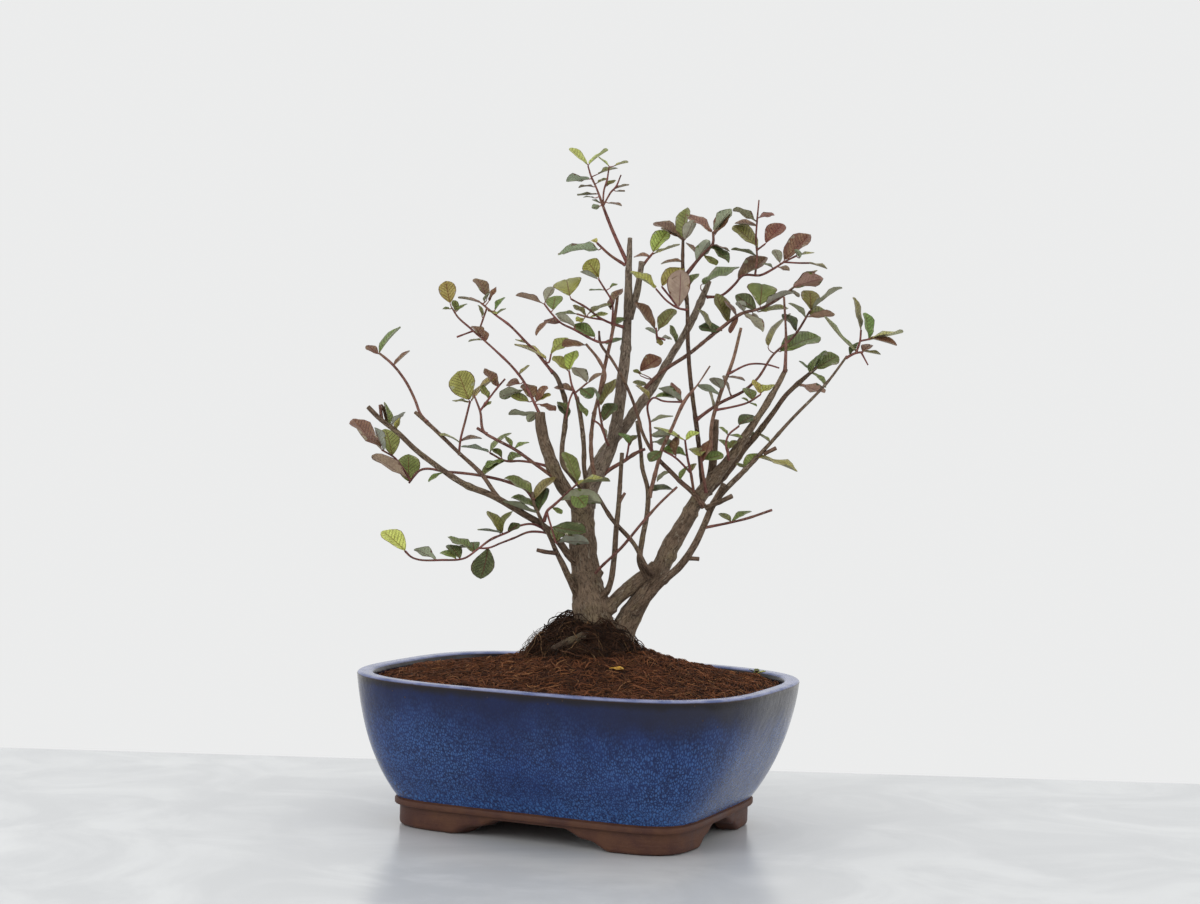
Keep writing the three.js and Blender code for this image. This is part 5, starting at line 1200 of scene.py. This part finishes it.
def rim_share(x, y):
    """How far a place lies from the middle towards the pot's inner wall, 1 at the wall."""
    half_x, half_y = POT_LENGTH / 2 - WALL, POT_WIDTH / 2 - WALL
    power = abs(x / half_x) ** RIM_SQUARENESS + abs(y / half_y) ** RIM_SQUARENESS
    return power ** (1 / RIM_SQUARENESS)


def ground(x, y):
    """Height of the mix: flat near the wall, heaped round the trunk, lumpy all over."""
    flat = np.stack([x, y, 0 * x], -1)
    lumps = noise(flat, 14 * MM, 1) * 1.6 * MM + noise(flat, 5 * MM, 2) * 1.3 * MM
    fade = np.clip((1 - rim_share(x, y)) / 0.12, 0, 1)
    height = mound(x, y) * (0.7 + 0.3 * fade) + lumps * (0.4 + 0.6 * fade)
    return SOIL_TOP + height - 1.6 * MM * (1 - fade)


def soil_surface():
    """The mix as one closed solid that fills the pot: its lumpy top, and its sides inside the wall."""
    wall_inset, wall_share = wall_at(SOIL_TOP)
    rings = [(WALL + BASE_INSET + 30 * MM, SOIL_FLOOR, 1)]
    for z in np.linspace(SOIL_FLOOR, SOIL_TOP - 2 * MM, SKIRT_ROWS):
        inset, fall = wall_at(z)
        rings.append((inset + WALL + SOIL_GAP, z, fall))
    skirt = lathe(rings, SOIL_SIDES)
    edge = lathe([(wall_inset + WALL + SOIL_GAP, 0, wall_share)], SOIL_SIDES)[0, :, :2]
    share = np.linspace(1, 0.01, SOIL_ROWS)[:, None, None]
    flat = edge[None] * share
    crumbs = noise(np.concatenate([flat, flat[..., :1] * 0], -1), 1.8 * MM, 4) * 0.5 * MM
    z = ground(flat[..., 0], flat[..., 1]) + crumbs
    top = np.concatenate([flat, z[..., None]], -1)
    grid = np.concatenate([skirt, top])
    peak = float(ground(np.zeros(1), np.zeros(1))[0])
    return close_lathe(grid, (0, 0, SOIL_FLOOR), (0, 0, peak))


def root_surface(direction):
    """Points of the root mass, a lumpy ellipsoid, in the given directions from its middle."""
    lumps = noise(direction, 0.5, 6) * 0.09 + noise(direction, 0.2, 7) * 0.07
    return ROOT_BALL + direction * ROOT_BALL_HALF * (1.0 + lumps)[..., None]


def root_mass():
    """The root mass from pole to pole, closed by a point at each."""
    tilt = np.linspace(-np.pi / 2, np.pi / 2, ROOT_ROWS + 2)[1:-1][:, None]
    angle = (np.arange(ROOT_SIDES) * TAU / ROOT_SIDES)[None]
    level = np.cos(tilt)
    direction = np.stack([level * np.cos(angle), level * np.sin(angle), np.sin(tilt) + 0 * angle], -1)
    poles = root_surface(np.array([[0, 0, -1.0], [0, 0, 1.0]]))
    return close_lathe(root_surface(direction), *poles)


def threads(shell, paths, radius, tints):
    """Many thin threads, closed at both ends, that thin out towards their tips. Paths are centre lines
    with equal counts of points."""
    count, steps = paths.shape[:2]
    tangent = unit(np.gradient(paths, axis=1))
    taper = (0.45 + 0.55 * np.sin(np.linspace(0.35, np.pi - 0.3, steps)))[None, :, None, None]
    ring = round_about(tangent, [0.05, 0.02, 1.0], THREAD_SIDES)
    points = (paths[:, :, None] + ring * radius[:, None, None, None] * taper).reshape(-1, 3)
    size = steps * THREAD_SIDES
    faces = repeated(strand_faces(steps, THREAD_SIDES), count, size)
    shell.add(points + POT_MIDDLE, faces, {"tint": np.repeat(tints, size, axis=0)})


# Colours of the fibres and roots, with the share of each
COIR_TINTS = {"6f4029": 0.34, "8a5636": 0.22, "47291b": 0.22, "ad7b50": 0.06, "24130d": 0.16}
ROOT_TINTS = {"2b1a12": 0.34, "3f271a": 0.28, "593825": 0.16, "1a100c": 0.17, "8c6c4c": 0.05}


def tints_of(random, count, shares):
    """Random linear colours from a table of shares, made lighter or darker by up to a third."""
    picked = random.choice(len(shares), count, p=list(shares.values()))
    base = np.array([colour(code)[:3] for code in shares])[picked]
    return base * random.uniform(0.62, 1.35, (count, 1))


def coir(seed, count, lift, longest):
    """Curly fibres laid over the mix. Each walks from a random place with a slowly turning heading,
    and stands off the ground by an arch of its own height."""
    random = np.random.default_rng(seed)
    x = random.uniform(-1, 1, count * 3) * (POT_LENGTH / 2 - WALL)
    y = random.uniform(-1, 1, count * 3) * (POT_WIDTH / 2 - WALL)
    away = np.hypot((x - ROOT_BALL[0]) / BARE[0], (y - ROOT_BALL[1]) / BARE[1])
    keep = (rim_share(x, y) < FIBRE_START) & (away > random.uniform(0.5, 1.05, len(x)))
    x, y = x[keep][:count], y[keep][:count]
    count = len(x)
    length = random.gamma(3, longest / 7, count).clip(3 * MM, longest)
    heading = random.uniform(0, TAU, count)
    bend = random.normal(0, 1.5, count)[:, None]
    curl = bend + random.normal(0, 1.1, (count, FIBRE_STEPS)).cumsum(1) * 0.6
    turn = heading[:, None] + curl * np.linspace(-0.5, 0.5, FIBRE_STEPS)
    hop = length[:, None] / (FIBRE_STEPS - 1)
    x = x[:, None] + np.cumsum(np.cos(turn) * hop, 1)
    y = y[:, None] + np.cumsum(np.sin(turn) * hop, 1)
    share = rim_share(x, y)
    pull = np.minimum(1, FIBRE_END / share)
    x, y = x * pull, y * pull
    height = random.exponential(lift, count).clip(0, 2 * lift)[:, None]
    arch = np.sin(np.linspace(0.1, np.pi - 0.1, FIBRE_STEPS))[None] * height
    tilt = random.normal(0, 0.4, count)[:, None] * np.linspace(-0.5, 0.5, FIBRE_STEPS) * lift
    z = ground(x, y) + 0.25 * MM + np.minimum(arch, 0.4 * length[:, None]) + abs(tilt)
    z = np.minimum(z, np.where(share > 0.93, POT_HEIGHT - 2.5 * MM, 1))
    radius = random.uniform(0.12, 0.32, count) * MM
    half = FIBRE_STEPS // 2
    middle = np.stack([x[:, half], y[:, half], 0 * x[:, half]], -1)
    patch = 0.95 + 0.5 * noise(middle, 8 * MM, 9)
    tints = tints_of(random, count, COIR_TINTS)
    shell = Shell()
    threads(shell, np.stack([x, y, z], -1), radius, tints * patch[:, None])
    return shell


def root_threads(seed, count):
    """Fine dark roots over the root mass: each winds over its surface from a random direction."""
    random = np.random.default_rng(seed)
    direction = unit(random.normal(0, 1, (count, 3)) + [0, 0, 0.35])
    heading = unit(np.cross(direction, random.normal(0, 1, (count, 3))) + [0, 0, -0.25])
    paths = []
    lift = random.exponential(0.05, count).clip(0, 0.16)
    hop = random.uniform(0.05, 0.16, count)[:, None]
    for step in range(ROOT_STEPS):
        arch = 1 + lift * np.sin(np.pi * step / (ROOT_STEPS - 1))
        middle = root_surface(direction) - ROOT_BALL
        paths.append(ROOT_BALL + middle * arch[:, None] + middle * 0.012)
        heading = unit(heading + random.normal(0, 0.35, (count, 3)))
        direction = unit(direction + heading * hop)
    paths = np.stack(paths, 1)
    radius = random.gamma(2, 0.09, count).clip(0.08, 0.6) * MM
    tints = tints_of(random, count, ROOT_TINTS)
    shell = Shell()
    threads(shell, paths, radius, tints)
    return shell


crumbs = peat()
coir_finish = fibre("coir_fibre", "3a2115", "8d5f3e")
root_finish = fibre("root_fibre", "1d120c", "54381f")
soil_surface().piece("potting_mix", "potting_mix", ["potting_soil"], crumbs)
coir(11, 6000, 0.8 * MM, 17 * MM).piece("coir_low", "potting_mix", ["potting_soil"], coir_finish)
coir(12, 4200, 1.0 * MM, 20 * MM).piece("coir_loose", "potting_mix", ["potting_soil"], coir_finish)
root_mass().piece("root_mass", "fibrous_roots", ["root_ball"], crumbs)
root_threads(13, 4200).piece("root_threads", "fibrous_roots", ["root_ball"], root_finish)


# Wood

OLD, GREY, TAN, DARK, RED = (
    np.array(colour(code)[:3]) for code in ("8d7864", "958474", "aa8d74", "6e5848", "96605a")
)
TINTS = {
    "trunk_left": OLD,
    "trunk_right": OLD,
    "surface_root": DARK * 0.6,
    "leader": GREY,
    "limb_left": OLD,
    "limb_back": GREY,
    "limb_right_dark": DARK,
    "stem_tan_middle": TAN,
    "stem_tan_right": TAN,
    "stem_left_d": TAN,
    "stem_dark_tall": DARK,
    "branch_left_thin": DARK,
    "stem_right_thin": DARK,
}
STEM_TINT = OLD * 0.6 + DARK * 0.4
SHOOT_TINT = RED * 0.5 + DARK * 0.5
# Mean thicknesses in millimetres of a red young twig, and of wood in its own tint
YOUNG, AGED = 1.3, 2.7


def wood(shell, routes, tint):
    """The stems of one piece: a tube along each route, with a collar where it leaves its parent and a
    knot here and there. A route's own radius r grows by 0.3 e^(-s / 1.4 r) at the distance s from its
    start, and by a third of the noise over a quarter."""
    for route in routes:
        column, row, depth, thick = np.array([(*point, TWIG)[:4] for point in route], float).T
        control = np.concatenate([seen_at(column, row, depth), thick[:, None] * MM / 2], -1)
        largest = thick.max()
        path = smooth(control, (0.5 + 0.1 * largest) * MM)
        along = np.concatenate([[0], np.cumsum(np.linalg.norm(np.diff(path[:, :3], axis=0), axis=1))])
        radius = path[:, 3] * (1 + 0.3 * np.exp(-along / (1.4 * path[0, 3])))
        knots = np.clip(noise(path[:, :3], 4.5 * MM, 8), 0.25, 1) - 0.25
        radius = radius * (1 + 0.35 * knots)
        share = np.clip((thick.mean() - YOUNG) / (AGED - YOUNG), 0, 1)
        sides = int(np.clip(6 + 1.6 * largest, 6, 40))
        rough = 0.1 + 0.08 * (largest > 6)
        tube(shell, path[:, :3], radius, sides, RED * (1 - share) + tint * share, rough=rough)


# Leaves

# Bronze, olive, green, dark, lime, yellow, silver and pink leaves, and the withered one
TONES = {
    "B": "86604a",
    "O": "8c8c4c",
    "G": "7a8e4a",
    "D": "55663c",
    # Painted light: the lime tone is brightened past the young leaves' own colour, in place of light
    # shining through the thin blade.
    "L": "c3cf6a",
    "Y": "b3ae58",
    "S": "aeb39c",
    "P": "b39384",
    "W": "d0a030",
}
UNDERSIDES = ["S", "P"]
ROWS = 9
COLUMNS = 5
STALK_ROWS = 5
STALK_SIDES = 5
STALK_OVERLAP = 0.8 * MM
YOUNG_STEMS = ("stem_tan_middle", "stem_tan_right", "stem_left_d")


def leaf_poses(routes, leaves):
    """Start, base, tip, face, length and breadth of each leaf, with its tone. A leaf's real length and
    breadth are at least those of a myrtle leaf seen as long and as wide as it is. The rest of its
    length leans to or from the eye, and its blade is turned about its midrib."""
    base_column, base_row, tip_column, tip_row, width = np.array([leaf[:5] for leaf in leaves], float).T
    tones = np.array([leaf[5] for leaf in leaves])
    starts = np.array([nearest_on(routes, *leaf[:2]) for leaf in leaves])
    depth = starts[:, 2]
    start = seen_at(*starts.T)
    base = seen_at(base_column, base_row, depth)
    tip = seen_at(tip_column, tip_row, depth)
    seen = np.linalg.norm(tip - base, axis=1)
    seen_width = width * PIXEL
    usual = np.minimum(LEAF_LENGTH, 0.75 * (seen + seen_width))
    length = np.maximum(np.maximum(1.05 * seen, 1.2 * seen_width), usual)
    breadth = np.maximum(seen_width, LEAF_BREADTH * length)
    under = np.isin(tones, UNDERSIDES)
    away = np.where((base_row >= tip_row) != under, 1, -1)
    tip = tip - BACK * (away * np.sqrt(length**2 - seen**2))[:, None]
    axis = unit(tip - base)
    across = unit(np.cross(axis, BACK))
    facing = np.cross(across, axis)
    open_share = (seen_width / breadth)[:, None]
    flip = np.where(under, -1, 1)[:, None]
    turned = across * np.sqrt(1 - open_share**2)
    faces = [(facing * open_share + way * turned) * flip for way in (1, -1)]
    face = np.where((faces[0][:, 2] > faces[1][:, 2])[:, None], *faces)
    return start, base, axis, face, length, breadth, tones


def nearest_on(routes, column, row):
    """The point of a set of routes that is seen nearest to a column and row."""
    best, found = 1e9, None
    for route in routes:
        points = np.array([point[:3] for point in route], float)
        run = np.diff(points, axis=0)
        offset = np.array([column, row]) - points[:-1, :2]
        along = (offset * run[:, :2]).sum(1) / (run[:, :2] ** 2).sum(1)
        place = points[:-1] + run * along.clip(0, 1)[:, None]
        gap = np.hypot(*(place[:, :2] - [column, row]).T)
        k = gap.argmin()
        if gap[k] < best:
            best, found = gap[k], place[k]
    return found


def blade_faces():
    """Quads and triangles of one blade: the upper grid of points, the lower one, which shares the
    margin's points, and the fans to the foot and the tip, which are numbered last."""
    upper = np.arange(ROWS * COLUMNS).reshape(ROWS, COLUMNS)
    lower = upper.copy()
    lower[:, 1:-1] = ROWS * COLUMNS + np.arange(ROWS * (COLUMNS - 2)).reshape(ROWS, COLUMNS - 2)
    foot = ROWS * (2 * COLUMNS - 2)
    four, three = [], []
    for grid, way in ((upper, 1), (lower, -1)):
        corners = [grid[:-1, :-1], grid[:-1, 1:], grid[1:, 1:], grid[1:, :-1]]
        four.append(np.stack(corners[::way], -1).reshape(-1, 4))
        low = np.stack([np.full(COLUMNS - 1, foot), grid[0, 1:], grid[0, :-1]], -1)
        high = np.stack([np.full(COLUMNS - 1, foot + 1), grid[-1, :-1], grid[-1, 1:]], -1)
        three.append(np.concatenate([low, high])[:, ::way])
    return np.concatenate(four), np.concatenate(three)


def blade_rows(upper, foot, tip):
    """A value for each of the blades' points: the upper grids, their inner columns again for the
    lower ones, the feet and the tips."""
    count = len(upper)
    grids = [upper.reshape(count, -1), upper[:, :, 1:-1].reshape(count, -1)]
    return np.concatenate([*grids, foot[:, None], tip[:, None]], 1)


def blades(shell, base, axis, face, length, breadth, tones, random):
    """Thin closed blades. The half width along a leaf is s^a (1 - s^b)^0.7 of its breadth, folded up
    along the midrib, bent down towards the tip and waved at the margin."""
    count = len(base)
    s = (1 - np.cos(np.linspace(0, np.pi, ROWS + 2)[1:-1] * 0.985)) / 2
    a = random.uniform(0.72, 0.95, (count, 1))
    b = random.uniform(1.9, 3.2, (count, 1))
    profile = s**a * (1 - s**b) ** 0.7
    profile = profile / profile.max(1, keepdims=True)
    t = np.linspace(-1, 1, COLUMNS)
    half = profile * breadth[:, None] / 2
    across = half[..., None] * t
    fold = random.uniform(0.2, 0.6, (count, 1, 1))
    bend = random.normal(0.1, 0.13, (count, 1, 1))
    twist = random.normal(0, 0.12, (count, 1, 1))
    phase = random.uniform(0, TAU, (count, 1, 1))
    ripple = random.uniform(0.01, 0.05, (count, 1, 1))
    chance = random.uniform(0, 1, count)
    long = length[:, None, None]
    run = s[None, :, None] + 0 * across
    rise = fold * abs(across) * (1 - 0.35 * abs(t)) - bend * long * (run**2 - 0.25 * run)
    rise = rise + ripple * long * np.sin(run * 11 + phase + 2.2 * np.sign(t)) * abs(t) ** 1.5
    rise = rise + twist * across * run
    rise = rise + 0.022 * long * np.cos(np.pi * (abs(t) - 0.5)) * (t != 0)
    along = run * long - 0.18 * fold * abs(across)
    side = np.cross(axis, face)
    offsets = ((axis, along), (side, across), (face, rise))
    upper = base[:, None, None] + sum(way[:, None, None] * far[..., None] for way, far in offsets)
    lower = (upper - face[:, None, None] * LEAF_THICKNESS)[:, :, 1:-1]
    foot = base + axis * 0.02 * length[:, None]
    tip = base + axis * length[:, None] - face * 0.75 * bend[:, 0] * length[:, None]
    grids = [upper.reshape(count, -1, 3), lower.reshape(count, -1, 3)]
    points = np.concatenate([*grids, foot[:, None], tip[:, None]], 1)
    size = points.shape[1]
    zero = np.zeros(count)
    blade = [
        blade_rows(across / MM, zero, zero),
        blade_rows(along / MM, zero, length / MM),
        np.broadcast_to(chance[:, None] * 9, (count, size)),
    ]
    share = [
        blade_rows(abs(t) + 0 * across, zero + 0.5, zero + 1),
        blade_rows(run, zero, zero + 1),
        np.zeros((count, size)),
    ]
    both_tones = np.stack(leaf_tones(tones, random), 1)
    face_counts = ((ROWS - 1) * (COLUMNS - 1), 2 * (COLUMNS - 1))
    tone = [np.repeat(both_tones, number, axis=1).reshape(-1, 4) for number in face_counts]
    shell.add(
        points.reshape(-1, 3),
        repeated(blade_faces(), count, size),
        {"blade": np.stack(blade, -1).reshape(-1, 3), "share": np.stack(share, -1).reshape(-1, 3)},
        {"tone": np.concatenate(tone)},
    )


def leaf_tones(tones, random):
    """Linear colours of each leaf's upper and lower face. The face that is seen has the leaf's tone;
    the alpha is 1 on undersides."""
    seen = np.array([colour(TONES[tone]) for tone in tones])
    count = len(tones)
    green = np.array([colour(TONES[code]) for code in random.choice(list("BOGD"), count)])
    pale = 0.55 * np.array(colour(TONES["S"])) + 0.45 * seen
    turned = np.isin(tones, UNDERSIDES)[:, None]
    vary = random.uniform(0.8, 1.18, (count, 1))
    shift = 1 + random.normal(0, 0.06, (count, 4))
    upper = np.where(turned, green, seen) * vary * shift
    lower = np.where(turned, seen, pale) * vary * shift
    upper[:, 3], lower[:, 3] = 0, 1
    return upper, lower


def stalks(shell, start, base, axis, random):
    """A thin bent stalk from the twig to each blade, which it joins along the blade's own direction."""
    count = len(start)
    u = np.linspace(0, 1, STALK_ROWS)[None, :, None]
    reach = np.linalg.norm(base - start, axis=1)[:, None]
    knee = base - axis * np.maximum(0.5 * reach, 0.6 * MM)
    end = base + axis * STALK_OVERLAP
    path = (1 - u) ** 2 * start[:, None] + 2 * u * (1 - u) * knee[:, None] + u**2 * end[:, None]
    tangent = unit(np.gradient(path, axis=1) + 1e-9)
    ring = round_about(tangent, unit(random.normal(0, 1, 3)), STALK_SIDES)
    radius = (0.42 - 0.14 * u)[..., None] * MM
    points = (path[:, :, None] + ring * radius).reshape(-1, 3)
    faces = repeated(strand_faces(STALK_ROWS, STALK_SIDES), count, STALK_ROWS * STALK_SIDES)
    angle = np.tile(np.arange(STALK_SIDES) * TAU / STALK_SIDES, count * STALK_ROWS)
    grain = np.stack([np.cos(angle), np.sin(angle), 0 * angle], -1)
    shell.add(points, faces, {"grain": grain * 0.4 * MM, "tint": RED * 1.2})


wood_finish, leaf_finish = bark(), leaf()
for number, (name, routes) in enumerate({**STEMS, **SHOOTS}.items()):
    random = np.random.default_rng(100 + number)
    shell = Shell()
    young = name in SHOOTS
    wood(shell, routes, TINTS.get(name, SHOOT_TINT if young else STEM_TINT))
    if name in LEAVES:
        start, base, axis, face, length, breadth, tones = leaf_poses(routes, LEAVES[name])
        stalks(shell, start, base, axis, random)
        leaves = Shell()
        blades(leaves, base, axis, face, length, breadth, tones, random)
        leaves.piece(name + "_leaves", "leafy_shoots", [name], leaf_finish, sharp=60)
    slot = "young_bark" if young or name in YOUNG_STEMS else "bark"
    shell.piece(name + "_wood", slot, [name], wood_finish)


def on_ground(place, height):
    """The point at a height over the mix."""
    x, y = place
    level = float(ground(np.array([x]), np.array([y]))[0])
    return np.array([x, y, level + height]) + POT_MIDDLE


def seedling():
    """A weed seedling: four small leaves round a short stem."""
    foot = on_ground(SEEDLING, 0)
    top = foot + [0, 0, 3.5 * MM]
    stem = Shell()
    green = np.array(colour("7f9a4a")[:3])
    tube(stem, np.linspace(foot, top, 5), np.full(5, 0.5 * MM), 7, green, facing=np.array([1.0, 0, 0]))
    stem.piece("seedling_stem", "seedling", ["seedling"], wood_finish)
    heading = np.array([0.4, 1.9, 3.4, 5.1])
    number = np.arange(4)
    rise = 0.35 + 0.1 * number
    level = np.cos(rise)
    axes = np.stack([np.cos(heading) * level, np.sin(heading) * level, np.sin(rise)], -1)
    side = np.stack([np.sin(heading), -np.cos(heading), 0 * heading], -1)
    faces = unit(np.cross(side, axes))
    places, lengths, breadths = np.repeat(top[None], 4, 0), (6 - 0.4 * number) * MM, np.full(4, 3.4 * MM)
    leaves = Shell()
    random = np.random.default_rng(7)
    blades(leaves, places, unit(axes), faces, lengths, breadths, np.array(list("LGLG")), random)
    leaves.piece("seedling_leaves", "seedling", ["seedling"], leaf_finish, sharp=60)


def fallen_leaf():
    """The yellow leaf that lies on the mix."""
    place = on_ground(FALLEN_LEAF, 1.6 * MM)[None]
    axis = unit(np.array([[np.cos(0.3), np.sin(0.3), 0.05]]))
    face = unit(np.array([[0, -0.2, 1.0]]))
    leaves = Shell()
    random = np.random.default_rng(8)
    blades(leaves, place, axis, face, np.array([9 * MM]), np.array([4 * MM]), np.array(["W"]), random)
    leaves.piece("fallen_leaf_leaves", "dry_leaf", ["fallen_leaf"], leaf_finish, sharp=60)


seedling()
fallen_leaf()


# Drain mesh and its wire


def mesh_plastic():
    """Dark moulded mesh, dulled by dust from the mix."""
    paint = Paint("drain_mesh", specular=0.4)
    dust = paint.cloud(paint.place(), 3 * MM)
    base = paint.mix(dust.ease(0.45, 0.75), colour("181b1f"), colour("4a3628"))
    return paint.finish(base, dust, 0.1 * MM, dust.ease(0.3, 0.7, 0.4, 0.75))


def copper():
    """Copper wire with brown tarnish in patches."""
    paint = Paint("copper_wire", metallic=0.9)
    tarnish = paint.cloud(paint.place(), 2 * MM, detail=5)
    base = paint.mix(tarnish.ease(0.4, 0.7), colour("b06f3c"), colour("5a3522"))
    return paint.finish(base, tarnish, 0.05 * MM, tarnish.ease(0.3, 0.7, 0.28, 0.6))


for part, finish in (("drain_mesh", mesh_plastic()), ("mesh_wire", copper())):
    for side in ("left", "right"):
        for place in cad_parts[f"{part}_{side}"].material_slots:
            place.material = finish
